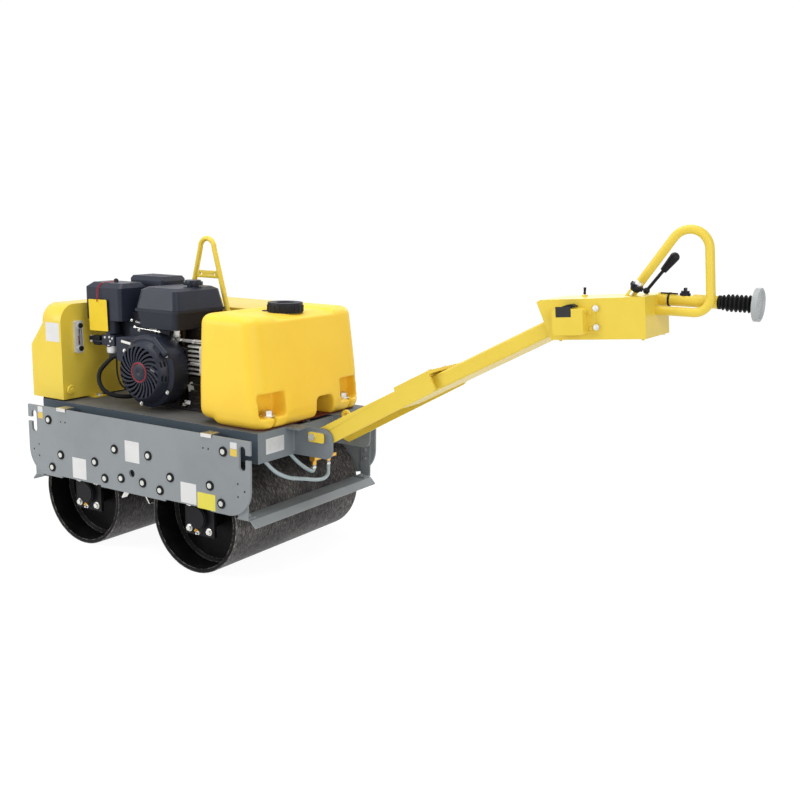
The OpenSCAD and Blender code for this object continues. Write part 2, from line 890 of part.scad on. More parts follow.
// Sunk seat of the filler neck: its floor falls towards the rear face, where it is open
module dish() intersection() {
    crosswise(water_front, water_l + dish_d) polygon([
        [-dish_w / 2, water_top - 2 * dish_d], [dish_w / 2, water_top - 2 * dish_d],
        [dish_w / 2 + dish_bevel, water_top + overrun], [-dish_w / 2 - dish_bevel, water_top + overrun]]);
    upright(-water_half, 2 * water_half) polygon([
        [cap_x - dish_ahead - dish_bevel, water_top + overrun], [cap_x - dish_ahead, water_top - cap_drop],
        [cap_x + cap_r / 2, water_top - cap_drop], [water_rear, water_top - dish_d],
        [water_rear + dish_d, water_top - dish_d], [water_rear + dish_d, water_top + overrun]]);
}

module water_cap() place() color(dark_shell) translate([cap_x, 0, cap_z + tether_t + fit]) {
    skirt = cap_h - tether_t;
    top_t = 8;
    well_r = 30;
    ribs = 20;
    rib_r = 2.5;
    difference() {
        union() {
            cylinder(h = skirt + top_t, r = cap_r - rib_r);
            for (k = [0:1:ribs - 1]) rotate([0, 0, k * 360 / ribs])
                translate([cap_r - rib_r, 0, 0]) cylinder(h = skirt, r = rib_r, $fn = 8);
        }
        translate([0, 0, -overrun]) cylinder(h = skirt + overrun, r = neck_r + fit);
        translate([0, 0, skirt + top_t / 2]) cylinder(h = top_t, r = well_r);
    }
}

// Ring under the cap with the two straps of its tether
module cap_tether() place() color(dark_shell) translate([cap_x, 0, cap_z]) {
    strap_w = 24;
    strap_l = 78;
    ring_w = 12;
    difference() {
        union() {
            cylinder(h = tether_t, r = neck_r + ring_w);
            for (a = [196, 158]) rotate([0, 0, a])
                block(0, strap_l, -strap_w / 2, strap_w / 2, 0, tether_t);
        }
        translate([0, 0, -overrun]) cylinder(h = 3 * tether_t, r = neck_r + fit);
    }
}

module deck_bolts() place() color(zinc) {
    tank_bolt_r = 18;
    bolt_r = 8;
    block_inset = 15;
    for (s = [-1, 1]) translate([deck_end - pocket_bolt, s * (pocket_in + pocket_w / 2),
        deck_z + pocket_low]) bolt_head(tank_bolt_r);
    for (s = [-1, 1]) translate([oil_rear + foot_l / 2, s * oil_half / 2, deck_z + foot_t])
        bolt_head(bolt_r);
    for (x = [block_left + block_inset, block_right - block_inset],
        y = [block_front + block_inset, block_back - block_inset])
        translate([crank_x + x, y, deck_z + rail_h + base_t]) bolt_head(bolt_r);
}

// Lifting loop: one bent round bar, its foot plates and a drilled cross plate
module lifting_loop() place() color(yellow) {
    arc_z = hoist_top - hoist_arc - hoist_r;
    run = hoist_foot - hoist_arc;
    leg_lean = atan(run / (arc_z - deck_z));
    leg_l = norm([run, arc_z - deck_z]);
    plate_z = deck_z + hoist_plate_z;
    bar_half = hoist_foot - hoist_plate_z * tan(leg_lean);
    foot = 44;
    intersection() {
        translate([hoist_mid, hoist_y, 0]) union() {
            translate([0, 0, arc_z]) rotate([90, 0, 0]) rotate_extrude(angle = 180)
                translate([hoist_arc, 0]) circle(hoist_r);
            for (s = [-1, 1]) translate([s * hoist_arc, 0, arc_z]) {
                sphere(hoist_r);
                rotate([0, s * (180 - leg_lean), 0]) cylinder(h = leg_l + 2 * hoist_r, r = hoist_r);
            }
        }
        block(hoist_mid - 2 * hoist_foot, hoist_mid + 2 * hoist_foot, hoist_y - foot, hoist_y + foot,
            deck_z, 2 * hoist_top);
    }
    for (s = [-1, 1]) block(hoist_mid + s * hoist_foot - foot / 2, hoist_mid + s * hoist_foot + foot / 2,
        hoist_y - foot / 2, hoist_y + foot / 2, deck_z, deck_z + deck_t);
    difference() {
        block(hoist_mid - bar_half, hoist_mid + bar_half, hoist_y - deck_t / 2, hoist_y + deck_t / 2,
            plate_z, plate_z + hoist_plate_h);
        for (s = [-1, 1]) rod_y(hoist_mid + s * bar_half / 2, plate_z + hoist_plate_h / 2,
            hoist_y - foot, hoist_y + foot, hoist_hole_r);
    }
}

// Sheet-metal cover over the pump and belt drive
module pump_cover() place() color(yellow) {
    near = 112;
    far = 318;
    left = -172;
    right = 206;
    rise = 11;
    cover_h = 328;
    skirt = 33;
    t = 3;
    high = deck_z + cover_h;
    difference() {
        crosswise(left, right - left) polygon([
            [near, deck_z], [far - skirt, deck_z], [far, deck_z + skirt], [far, high + rise],
            [near, high]]);
        crosswise(left + t, right - left - 2 * t) polygon([
            [near + t, deck_z - overrun], [far - skirt - t, deck_z - overrun], [far - t, deck_z + skirt],
            [far - t, high + rise - t], [near + t, high - t]]);
        rod_y(crank_x, crank_z, near - overrun, near + t + overrun, 2 * crank_bore);
    }
}

// Pump bolted to the deck inside its cover, driven straight from the crankshaft
module hydraulic_pump() place() color(grey) {
    stand_w = 70;
    stand_t = 14;
    flange_w = 16;
    flange_t = 10;
    difference() {
        union() {
            rod_y(crank_x, crank_z, pump_front, pump_back, pump_r);
            rod_y(crank_x, crank_z, pump_front - flange_t, pump_front, pump_r + flange_w);
            block(crank_x - stand_w / 2, crank_x + stand_w / 2, pump_front, pump_front + stand_t,
                deck_z, crank_z);
            block(crank_x - stand_w, crank_x + stand_w, pump_front, pump_front + stand_w,
                deck_z, deck_z + flange_t);
        }
        rod_y(crank_x, crank_z, pump_front - flange_t - overrun, pump_back - pump_end + overrun,
            crank_bore);
    }
}

// Engine: everything below is drawn in its own frame

module in_engine() place() translate([crank_x, 0, crank_z]) children();

module block_outline() {
    circle(case_r, $fn = 64);
    translate([block_left, -crank_h]) square([block_right - block_left, base_t + rail_h]);
    translate([block_left + foot_inset, -crank_h])
        square([block_right - block_left - 2 * foot_inset, crank_h]);
}

module along_cylinder() rotate([0, cyl_tilt - 90, 0]) translate([0, cyl_y, 0]) children();

module engine_block() in_engine() color(steel) {
    fins = 9;
    fin_t = 3;
    fin_half = 72;
    head_t = 26;
    head_half = 64;
    end_t = 10;
    end_r = 78;
    port_r = 17;
    pipe_r = 15;
    leg_r = 8;
    leg_x = 68;
    leg_y = [-115, 5];
    step = (cyl_end - cyl_start - fin_t) / fins;
    difference() {
        union() {
            upright(block_front, block_back - block_front) block_outline();
            rod_y(0, 0, block_back, block_back + end_t, end_r);
            along_cylinder() {
                cylinder(h = cyl_end, r = cyl_r);
                for (k = [0:1:fins - 1]) block(-fin_half, fin_half, -fin_half, fin_half,
                    cyl_start + k * step, cyl_start + k * step + fin_t);
                block(-head_half, head_half, -head_half, head_half, cyl_end, cyl_end + head_t);
            }
            rod_y(carb_x + 2 * fin_t, carb_z, port_y, cyl_y, port_r);
            rod_z(port_x, port_pipe_y, case_r, muff_low + muff_gap, pipe_r);
            for (y = leg_y) rod_z(leg_x, y, 0, tank_low, leg_r);
            side_casting();
        }
        rod_y(0, 0, block_front - overrun, block_back + end_t + overrun, crank_bore);
    }
}

// Ribbed governor housing beside the crankcase, open in a rectangular window
module side_casting() {
    depth = 46;
    low = -44;
    high = 78;
    wall = 7;
    ribs = 3;
    step = (high - low - wall) / ribs;
    for (x = [block_right - foot_inset - wall, block_right + wall])
        block(x, x + wall, block_front, block_front + depth, low, high);
    for (k = [0:1:ribs]) block(block_right - foot_inset - wall, block_right + 2 * wall, block_front,
        block_front + depth, low + k * step, low + k * step + wall);
    block(0, block_right + 2 * wall, block_front + depth - wall, block_front + depth, low, high);
}

module blower_housing() in_engine() color(dark_shell) {
    wall = 5;
    rim = 8;
    deep = blower_back - blower_front;
    shroud_l = 146;
    shroud_h = 132;
    shroud_r = 40;
    difference() {
        union() {
            translate([0, blower_back, 0]) rotate([90, 0, 0]) rotate_extrude($fn = 72) polygon([
                [0, 0], [blower_r, 0], [blower_r, deep - rim], [recoil_base_r, deep], [0, deep]]);
            upright(blower_front + rim, deep - rim) polygon([
                [0, blower_r - wall], [-shroud_l, blower_r - 4 * wall],
                [-shroud_l, 5 * wall], [-blower_r / 2, 0]]);
            upright(blower_back - wall, wall) polygon([
                [shroud_r, shroud_h], [-shroud_l + wall, shroud_h],
                [-shroud_l, shroud_h - wall], [-shroud_l, blower_r / 2], [shroud_r, blower_r / 2]]);
        }
        translate([0, blower_back + overrun, 0]) rotate([90, 0, 0]) rotate_extrude($fn = 72)
            polygon([
                [0, 0], [blower_r - wall, 0], [blower_r - wall, deep - rim],
                [recoil_base_r - wall, deep + 2 * overrun], [0, deep + 2 * overrun]]);
    }
    for (a = [90, 210, 330]) {
        p = polar(0, 0, blower_r - wall, a);
        rod_y(p[0], p[1], blower_back, block_front, wall);
    }
}

// Recoil cover: a domed dish with a ring of curved slots round a plain badge boss

module grille_slot() {
    inner = badge_r + 8;
    outer = recoil_r - 9;
    sweep = 30;
    open_share = 0.52;
    pitch = 360 / grille_slots;
    function edge(s, shift) = polar(0, 0, inner + s * (outer - inner), shift + sweep * s);
    polygon(concat([for (s = [0:0.25:1]) edge(s, 0)], [for (s = [1:-0.25:0]) edge(s, pitch * open_share)]));
}

module recoil_cover() in_engine() color(dark_shell) {
    wall = 4;
    depth = blower_front - recoil_y;
    bend = 8;
    boss_rim = 3;
    vent_w = 5;
    vent_depths = [0.35, 0.7];
    seat_half = 14;
    vent_turns = [70, 98, -52, -38, -24];
    difference() {
        translate([0, blower_front, 0]) rotate([90, 0, 0]) rotate_extrude($fn = 72)
            polygon([
                [0, depth - wall], [recoil_r - bend, depth - wall], [recoil_r - wall, depth - wall - bend],
                [recoil_base_r - wall, 0], [recoil_base_r, 0], [recoil_base_r, wall],
                [recoil_r, depth - bend], [recoil_r - bend, depth], [badge_r + boss_rim, depth],
                [badge_r, depth - overrun], [0, depth - overrun]]);
        for (k = [0:1:grille_slots - 1]) translate([0, recoil_y - overrun, 0])
            rotate([0, k * 360 / grille_slots, 0]) upright(0, 2 * wall + overrun) grille_slot();
        for (k = [0:1:len(vent_turns) - 1], share = vent_depths) let (half = k < 2 ? 2 * vent_w : vent_w)
            rotate([0, vent_turns[k], 0]) translate([0, recoil_y + share * depth, 0])
                block(-half, half, -vent_w / 2, vent_w / 2, recoil_r - 2 * wall - bend,
                    recoil_base_r + wall);
    }
    translate([0, recoil_y, 0]) rotate([0, grip_turn, 0])
        block(-seat_half, seat_half, depth / 2, depth - wall, recoil_r, recoil_base_r + wall);
}

// Starter grip, pulled out to the upper right along the rope
module recoil_handle() in_engine() color(black) translate([0, recoil_y, 0])
    rotate([0, grip_turn, 0]) {
        grip_l = 64;
        grip_r = 10;
        depth_share = 0.6;
        seat = recoil_base_r + 4 + fit;
        translate([0, depth_share * (blower_front - recoil_y), seat + grip_r]) rotate([0, 90, 0]) {
            cylinder(h = grip_l, r = grip_r, center = true);
            for (s = [-1, 1]) translate([0, 0, s * grip_l / 2]) sphere(grip_r, $fn = 24);
        }
    }

module fan_wheel() in_engine() color(black) {
    disc = 14;
    blades = 20;
    blade_t = 3;
    difference() {
        union() {
            rod_y(0, 0, fan_back, fan_back + disc, fan_r);
            rod_y(0, 0, fan_front, fan_back, fan_hub_r);
            for (k = [0:1:blades - 1]) translate([0, fan_back, 0]) rotate([0, k * 360 / blades, 0])
                block(fan_hub_r - overrun, fan_r, fan_front - fan_back, overrun, -blade_t / 2, blade_t / 2);
        }
        rod_y(0, 0, fan_front - overrun, fan_back + 2 * disc, crank_bore + fit);
    }
}

module crankshaft() in_engine() color(steel)
    rod_y(0, 0, fan_front + 2 * overrun, pump_back - pump_end, crank_bore - turn_fit);

module fuel_layer(side, z, t) slab(tank_left + side, tank_right - side, tank_front + side,
    tank_back - side, z, t, tank_corner_r, $fn = 32);

module fuel_tank() in_engine() color(dark_shell) {
    inset = 16;
    seam_t = 5;
    rim = 4;
    slope = 14;
    neck = 20;
    hull() {
        fuel_layer(rim, tank_seam, seam_t);
        fuel_layer(inset, tank_top - slope, seam_t);
        fuel_layer(2 * inset, tank_top - seam_t, seam_t);
    }
    fuel_layer(0, tank_seam - seam_t, 2 * rim);
    hull() {
        fuel_layer(rim + overrun, tank_seam - seam_t - overrun, overrun);
        fuel_layer(slope, tank_low, overrun);
    }
    translate([fuel_cap_x, fuel_cap_y, tank_top - seam_t]) cylinder(h = seam_t + fuel_neck_h, r = neck);
}

module fuel_cap() in_engine() color(black)
    translate([fuel_cap_x, fuel_cap_y, tank_top + fuel_neck_h + fit]) {
    grips = 12;
    grip_r = 3.5;
    skirt = 12;
    top_t = 5;
    inset = 6;
    difference() {
        union() {
            cylinder(h = skirt, r = fuel_cap_r);
            cylinder(h = skirt + top_t, r = fuel_cap_r - inset);
        }
        for (k = [0:1:grips - 1]) rotate([0, 0, k * 360 / grips])
            translate([fuel_cap_r + overrun, 0, -overrun])
                cylinder(h = skirt + 2 * overrun, r = grip_r, $fn = 12);
    }
}

module air_cleaner() in_engine() color(dark_shell) {
    r = 14;
    chamfer = 18;
    layer_t = 2;
    elbow_r = 24;
    stud_r = 4;
    stud_h = 12;
    wing = 9;
    hull() {
        for (z = [filter_low, filter_top - chamfer])
            slab(filter_left, filter_right, filter_front, filter_back, z, layer_t, r, $fn = 32);
        slab(filter_left + chamfer, filter_right - chamfer / 2, filter_front + chamfer,
            filter_back - chamfer, filter_top - layer_t, layer_t, r, $fn = 32);
    }
    rod_z(carb_x, carb_y, carb_z + carb_r, filter_low, elbow_r);
    translate([(filter_left + filter_right) / 2, (filter_front + filter_back) / 2, filter_top]) {
        cylinder(h = stud_h, r = stud_r, $fn = 24);
        cylinder(h = stud_h / 2, r = 2 * stud_r, $fn = 24);
        block(-wing, wing, -stud_r / 2, stud_r / 2, 0, stud_h - stud_r / 2);
    }
}

module carburettor() in_engine() color(black) {
    bowl_r = 20;
    cup_r = 15;
    body_l = 30;
    body_w = 22;
    body_h = 18;
    bowl_h = 44;
    cup_h = 20;
    choke_l = 46;
    rod_y(carb_x, carb_z, carb_y - body_w, port_y, carb_r - fit);
    block(carb_x - body_l, carb_x + body_l, carb_y - body_w, carb_y + body_w, carb_z - body_h,
        carb_z + body_h);
    rod_z(carb_x, carb_y, carb_z - bowl_h, carb_z, bowl_r);
    rod_z(carb_x, carb_y, carb_z - bowl_h - cup_h, carb_z - bowl_h, cup_r);
    block(carb_x - body_l - choke_l, carb_x - body_l, carb_y - body_w, carb_y - body_w / 3,
        carb_z - body_h / 2, carb_z - body_h / 4);
}

module muffler() in_engine() color([0.25, 0.24, 0.24]) {
    r = 16;
    lug = 16;
    hull() for (x = [muff_left + muff_gap + r, muff_right - muff_gap - r],
        z = [muff_low + muff_gap + r, muff_top - muff_gap - r])
            rod_y(x, z, muff_front + muff_gap, muff_back - muff_gap, r, $fn = 32);
    block(muff_left + guard_t, muff_right - guard_t, -lug, lug, muff_low + 3 * lug, muff_low + 4 * lug);
}

// Perforated heat guard round the muffler

module guard_end(from, to, inset, low) {
    slope = 16;
    top_in = 10;
    polygon([
        [from + inset, low], [to - inset, low], [to - inset, muff_top - slope - inset],
        [to - top_in - inset, muff_top - inset], [from + top_in + inset, muff_top - inset],
        [from + inset, muff_top - slope - inset]]);
}

module guard_form(inset, low) {
    corner = 12;
    intersection() {
        slab(muff_left + inset, muff_right - inset, muff_front + inset, muff_back - inset, low,
            muff_top - low, corner - inset);
        upright(muff_front, muff_back - muff_front) guard_end(muff_left, muff_right, inset, low);
        crosswise(muff_left, muff_right - muff_left) guard_end(muff_front, muff_back, inset, low);
    }
}

module muffler_guard() in_engine() color(black) {
    slots = 6;
    slot_w = 7;
    slot_pitch = 20;
    first_slot = 31;
    end_gap = 22;
    difference() {
        guard_form(0, muff_low);
        guard_form(guard_t, muff_low - overrun);
        for (k = [0:1:slots - 1]) translate([muff_left + first_slot + k * slot_pitch, 0, 0])
            block(-slot_w / 2, slot_w / 2, muff_front + end_gap, muff_back - end_gap,
                muff_top - end_gap, muff_top + overrun);
    }
}

// Governor and throttle levers on a plate under the fuel tank
module control_linkage() in_engine() color(zinc) {
    t = 3;
    plate_l = 96;
    plate_h = 42;
    plate_in = 96;
    plate_y = tank_front + 64;
    pin_r = 6;
    lever_l = 46;
    lever_w = 10;
    turn = 200;
    z = tank_low - plate_h;
    block(tank_right - plate_in, tank_right - plate_in + plate_l / 2, plate_y, plate_y + t, z, tank_low);
    block(tank_right - plate_in, tank_right - plate_in + plate_l / 2, plate_y, plate_y + 4 * t,
        tank_low - t, tank_low);
    block(tank_right - plate_in, tank_right + 4 * pin_r, plate_y, plate_y + t, z, z + lever_w);
    for (x = [tank_right - plate_in / 2, tank_right + 3 * pin_r])
        rod_y(x, z + lever_w / 2, plate_y - 2 * t, plate_y, pin_r, $fn = 24);
    translate([tank_right - plate_in / 2, plate_y, z + plate_h / 2]) rotate([90, 0, 0]) {
        cylinder(h = 2 * t, r = pin_r, $fn = 24);
        rotate([0, 0, turn]) linear_extrude(t) {
            translate([0, -lever_w / 2]) square([lever_l, lever_w]);
            translate([lever_l, 0]) circle(pin_r, $fn = 24);
        }
    }
}

// Hoses and cables

function unit(v) = v / norm(v);
function smooth(p, n) = n == 0 ? p : smooth(concat([p[0]],
    [for (i = [0:1:len(p) - 2], s = [0.25, 0.75]) p[i] * (1 - s) + p[i + 1] * s], [p[len(p) - 1]]), n - 1);
function heading(p, i) = unit(p[min(i + 1, len(p) - 1)] - p[max(i - 1, 0)]);
function across(u, d) = unit(u - (u * d) * d);

// The side vector of each ring, carried along the path so that the tube never twists
function carry(p, i, u) = i == len(p) ? [] :
    let (v = across(u, heading(p, i))) concat([v], carry(p, i + 1, v));

// A tube along a path of points, with flat ends
module tube_along(p, r, sides) {
    n = len(p);
    side = carry(p, 0, abs(heading(p, 0)[2]) > 0.9 ? [1, 0, 0] : [0, 0, 1]);
    ring = [for (i = [0:1:n - 1]) let (v = side[i], w = cross(heading(p, i), v))
        for (k = [0:1:sides - 1]) p[i] + r * (cos(k * 360 / sides) * v + sin(k * 360 / sides) * w)];
    skin = [for (i = [0:1:n - 2], k = [0:1:sides - 1]) let (m = (k + 1) % sides)
        [i * sides + k, (i + 1) * sides + k, (i + 1) * sides + m, i * sides + m]];
    polyhedron(points = ring, faces = concat([[for (k = [0:1:sides - 1]) k]], skin,
        [[for (k = [sides - 1:-1:0]) (n - 1) * sides + k]]), convexity = 4);
}

// A hose along chosen points, with its corners rounded twice
module hose(route, r, sides) tube_along(smooth(route, 2), r, sides);

// Routes in the engine's frame, and below the deck's front and rear edges
engine_hose_route = [[-104, -133, -96], [-140, -188, -112], [-200, -238, -92], [-232, -232, -30],
    [-204, -198, 18], [-178, -190, 36], [-146.5, -190, 36]];
fuel_line_route = [[-189, -176, 39.5], [-187, -182, 10], [-172, -196, -30], [-150, -200, -70],
    [-120, -170, -96]];
oil_hose_routes = [
    [[-26, -250, 6], [-26, -250, -23], [-26, -235, -38], [-18, -195, -53], [0, -195, -53]],
    [[-36, -190, 6], [-36, -190, -28], [-31, -165, -48], [-20, -130, -53], [0, -130, -53]]];
water_hose_routes = [
    [[-24, -236, 6], [-6, -200, -42], [11, -150, -70], [18, -95, -82], [18, 10, -110],
        [18, 50, -102], [11, 60, -82], [11, 60, -52.6]],
    [[-24, -110, 6], [-6, -85, -32], [6, -45, -64], [11, -20, -76], [11, -18, -52.6]]];
engine_hose_r = 7.5;
fuel_line_r = 3;
oil_hose_r = 10;
water_hose_r = 6.5;

module engine_lines() in_engine() color(black) {
    hose(engine_hose_route, engine_hose_r, 10);
    hose(fuel_line_route, fuel_line_r, 8);
}

module hydraulic_hoses() place() translate([-deck_end, 0, deck_z]) color(black)
    for (route = oil_hose_routes) hose(route, oil_hose_r, 10);

module water_hoses() place() translate([deck_end, 0, beam_low]) color([0.66, 0.74, 0.78])
    for (route = water_hose_routes) hose(route, water_hose_r, 10);

// Water valve under the deck's rear beam, and its lever

module water_valve() place() color([0.85, 0.6, 0.1]) {
    barrel_r = 11;
    barrel_ends = [-62, 40];
    spigots = [-52, 26];
    spigot_r = 8;
    spigot_l = 22;
    stem_r = 9;
    plate_l = 30;
    plate_w = 24;
    plate_t = 4;
    shelf_t = 3;
    rod_y(valve_x, valve_z, valve_y + barrel_ends[0], valve_y + barrel_ends[1], barrel_r);
    for (y = spigots) rod_z(valve_x, valve_y + y, valve_z - spigot_l, valve_z, spigot_r);
    block(deck_end, deck_end + plate_t, valve_y - plate_w / 2, valve_y + plate_w / 2,
        beam_low - shelf_t, beam_low + plate_l);
    block(deck_end, valve_x + stem_r, valve_y - plate_w / 2, valve_y + plate_w / 2,
        beam_low - 2 * shelf_t, beam_low - shelf_t);
    rod_z(valve_x, valve_y, valve_z, beam_low - 2 * shelf_t, stem_r);
    rod_x(valve_y, valve_z, valve_x, valve_x + valve_stem, spigot_r);
}

module valve_lever() place() color([0.9, 0.5, 0.1]) {
    lever_t = 4;
    lever_l = 40;
    half_w = 5;
    boss = 8;
    start = valve_x + valve_stem + fit;
    rod_x(valve_y, valve_z, start, start + lever_t, boss);
    block(start, start + lever_t, valve_y, valve_y + lever_l, valve_z - half_w, valve_z + half_w);
}

// Arm

module in_arm() translate([pivot_x, 0, pivot_z]) rotate([0, -arm_angle, 0]) children();

module arm_wall_outline() {
    corner = 16;
    difference() {
        polygon([
            [arm_start, -arm_low + corner], [arm_start + corner, -arm_low],
            [arm_l - corner, -arm_low + arm_taper], [arm_l, -arm_low + arm_taper + corner / 2],
            [arm_l, arm_top], [arm_start + corner, arm_top], [arm_start, arm_top - corner]]);
        circle(pivot_r + turn_fit);
    }
}

module lower_arm() place() color(yellow) in_arm() {
    eye_share = 0.8;
    cheek_start = upper_start + 20;
    cheek_short = 12;
    cheek_h = 34;
    both_sides() upright(-arm_half, arm_t) arm_wall_outline();
    block(web_start, arm_l - web_short, -arm_half + arm_t, arm_half - arm_t, arm_top - deck_t, arm_top);
    block(clamp_start, clamp_start + clamp_l, -arm_half, arm_half, arm_top, arm_top + clamp_t);
    upright(-eye_t / 2, eye_t) difference() {
        translate([eye_u, arm_top + eye_r * eye_share]) circle(eye_r);
        translate([eye_u, arm_top + eye_r * eye_share]) circle(eye_hole_r);
        translate([eye_u - 2 * eye_r, arm_top - 2 * eye_r]) square([4 * eye_r, 2 * eye_r]);
    }
    both_sides() block(cheek_start, arm_l - cheek_short, -arm_half + arm_t, -upper_half - fit,
        arm_top - deck_t - cheek_h, arm_top - deck_t);
}

module upper_arm() place() color(yellow) in_arm() {
    wall = 5;
    difference() {
        crosswise(upper_start, upper_end - upper_start) translate([-upper_half, upper_top - upper_h])
            rounded(upper_w, upper_h, wall);
        block(upper_start - overrun, upper_end - wall, -upper_half + wall, upper_half - wall,
            upper_top - upper_h + wall, upper_top - wall);
    }
}

module arm_bolts() place() color(zinc) in_arm()
    for (u = clamp_bolt_u, s = [-1, 1]) translate([u, s * clamp_bolt_y, arm_top + clamp_t])
        bolt_head(clamp_bolt_r);

// Pivot pin with a yellow lock plate and a bolt head at each bracket
module pivot_pin() place() {
    head_r = 12;
    color(zinc) translate([pivot_x, 0, pivot_z]) rotate([90, 0, 0])
        cylinder(h = 2 * (bracket_out + lock_t), r = pivot_r, center = true);
    color(zinc) both_sides() translate([pivot_x, -bracket_out - lock_t, pivot_z])
        rotate([90, 0, 0]) bolt_head(head_r);
    color(yellow) both_sides() translate([pivot_x - lock_h / 2, 0, pivot_z - lock_h / 2])
        upright(-bracket_out - lock_t, lock_t) rounded(lock_l, lock_h, lock_t);
}

// Console: its own frame starts at the rear edge of the lid and leans with the box

module in_console() translate([console_x, 0, console_z]) rotate([0, -console_tilt, 0]) children();

module console_outline(inset) {
    polygon([
        [-console_l + console_lip + inset / 2, -inset], [-inset, -inset], [-inset, -console_h + inset],
        [-console_l + console_slope + inset, -console_h + inset],
        [-console_l + inset, -console_lip / 2 - inset]]);
}

module console_box() place() color(yellow) {
    screw_r = 4;
    screw_in = 12;
    difference() {
        in_console() difference() {
            upright(-console_half, console_w) console_outline(0);
            upright(-console_half + console_t, console_w - 2 * console_t) console_outline(console_t);
        }
        in_arm() block(upper_end - 2 * upper_w, upper_end + overrun, -upper_half - fit, upper_half + fit,
            upper_top - upper_h - fit, upper_top + fit);
    }
    in_console() for (u = [-console_l + console_slope + 2 * screw_in, -screw_in], s = [-1, 1])
        translate([u, s * (console_half - screw_in), -console_h]) rotate([180, 0, 0]) bolt_head(screw_r);
    in_console() translate([toggle_u, toggle_y, 0]) cylinder(h = collar_h, r = 2 * bat_r);
}

// Small switch box on the near side of the console
module switch_box() place() color(yellow) in_console() {
    r = 8;
    edge = 2;
    screw_r = 5;
    screw_in = 14;
    translate([switch_u, 0, switch_w]) upright(-console_half - switch_t, switch_t)
        rounded(switch_l, switch_h, r);
    block(switch_u + switch_l - r, switch_u + switch_l + switch_flange, -console_half - console_t,
        -console_half, switch_w + edge, switch_w + switch_h - edge);
    for (w = [switch_w + screw_in, switch_w + switch_h - screw_in])
        translate([switch_u + switch_l + switch_flange / 2, -console_half - console_t, w])
            rotate([90, 0, 0]) bolt_head(screw_r);
}

// Rocker with a ridge below, so that it tips without biting into the box
module rocker_switch() place() color(black) in_console() {
    half = rocker_l / 2;
    ridge = 1.5;
    translate([switch_u + switch_l / 2, -console_half - switch_t / 2, switch_w + switch_h + fit])
        upright(-rocker_w / 2, rocker_w) polygon([
            [-half, 2 * ridge], [-ridge, 0], [ridge, 0], [half, 2 * ridge], [half, 4 * ridge],
            [half / 2, rocker_h], [0, rocker_h - ridge], [-half, 3 * ridge]]);
}

// Handle loop: one bent tube in an upright plane, from the lid to the console's rear face,
// and the tube of the stop plate welded behind it

function arc_points(x, z, r, a0, a1, n) =
    [for (k = [0:1:n]) let (a = a0 + (a1 - a0) * k / n) [x + r * cos(a), loop_y, z + r * sin(a)]];

module handle_loop() place() color(yellow) {
    top_z = loop_apex_z - loop_up_r;
    low_z = loop_low_z + loop_low_r;
    drop = top_z - low_z + (loop_up_r - loop_low_r) * sin(loop_lean);
    low_x = loop_apex_x + (loop_up_r - loop_low_r) * cos(loop_lean) + drop * tan(loop_lean);
    leg = loop_leg_angle + 90;
    leg_l = loop_up_r + drop + 2 * loop_low_r;
    foot = [loop_apex_x + loop_up_r * cos(leg) - leg_l * cos(loop_leg_angle), loop_y,
        top_z + loop_up_r * sin(leg) - leg_l * sin(loop_leg_angle)];
    difference() {
        tube_along(concat([foot], arc_points(loop_apex_x, top_z, loop_up_r, leg, loop_lean, 12),
            arc_points(low_x, low_z, loop_low_r, loop_lean, -90, 9),
            [[console_x - console_lip, loop_y, loop_low_z]]), loop_r, 20);
        in_console() block(-console_l, 0, -console_half, console_half, -2 * console_h, 0);
    }
    difference() {
        rod_x(stop_axis_y, stop_axis_z, console_x - console_lip, stop_tube_end, stop_tube_r);
        in_console() block(-console_l, 0, -console_half, console_half, -2 * console_h, console_h);
        rod_x(stop_axis_y, stop_axis_z, console_x + loop_d, stop_tube_end + overrun, stop_rod_r + turn_fit);
        key_pad();
    }
}

// Flat milled into the top of the stop tube for the key switch
module key_pad() block(console_x + key_ahead - key_seat_l / 2, console_x + key_ahead + key_seat_l / 2,
    stop_axis_y - key_seat_w, stop_axis_y + key_seat_w, stop_axis_z + stop_tube_r - key_sunk,
    stop_axis_z + 2 * stop_tube_r);

// Rubber bellows round the stop rod: ribbed tube with a bore
module bellows() place() color(black) translate([stop_tube_end + fit, stop_axis_y, stop_axis_z])
    rotate([0, 90, 0]) {
        length = bellows_l - 2 * fit;
        pitch = length / bellows_folds;
        fold_depth = 8;
        fold_shares = [[0.25, 0], [0.45, 1], [0.6, 1], [0.8, 0]];
        rod_gap = 4;
        valley = bellows_r - fold_depth;
        bore = stop_rod_r + rod_gap;
        rotate_extrude($fn = 32) polygon(concat(
            [[bore, 0], [valley, 0]],
            [for (k = [0:1:bellows_folds - 1], q = fold_shares)
                [valley + q[1] * fold_depth, (k + q[0]) * pitch]],
            [[valley, length], [bore, length]]));
    }

// Round stop plate with a raised rim and a small boss, on its push rod
module stop_plate() place() color(steel) translate([0, stop_axis_y, stop_axis_z]) {
    edge = 3;
    rim = 6;
    sunk = 5;
    boss = 9;
    rod_x(0, 0, stop_tube_end - 2 * stop_travel, stop_x + edge, stop_rod_r);
    translate([stop_x, 0, 0]) rotate([0, 90, 0]) rotate_extrude($fn = 64) polygon([
        [0, 0], [stop_d / 2 - edge, 0], [stop_d / 2, edge / 2], [stop_d / 2, stop_t - edge / 2],
        [stop_d / 2 - edge, stop_t], [stop_d / 2 - rim, stop_t], [stop_d / 2 - rim - edge, stop_t - sunk],
        [boss, stop_t - sunk], [boss - edge, stop_t - edge], [0, stop_t - edge]]);
}

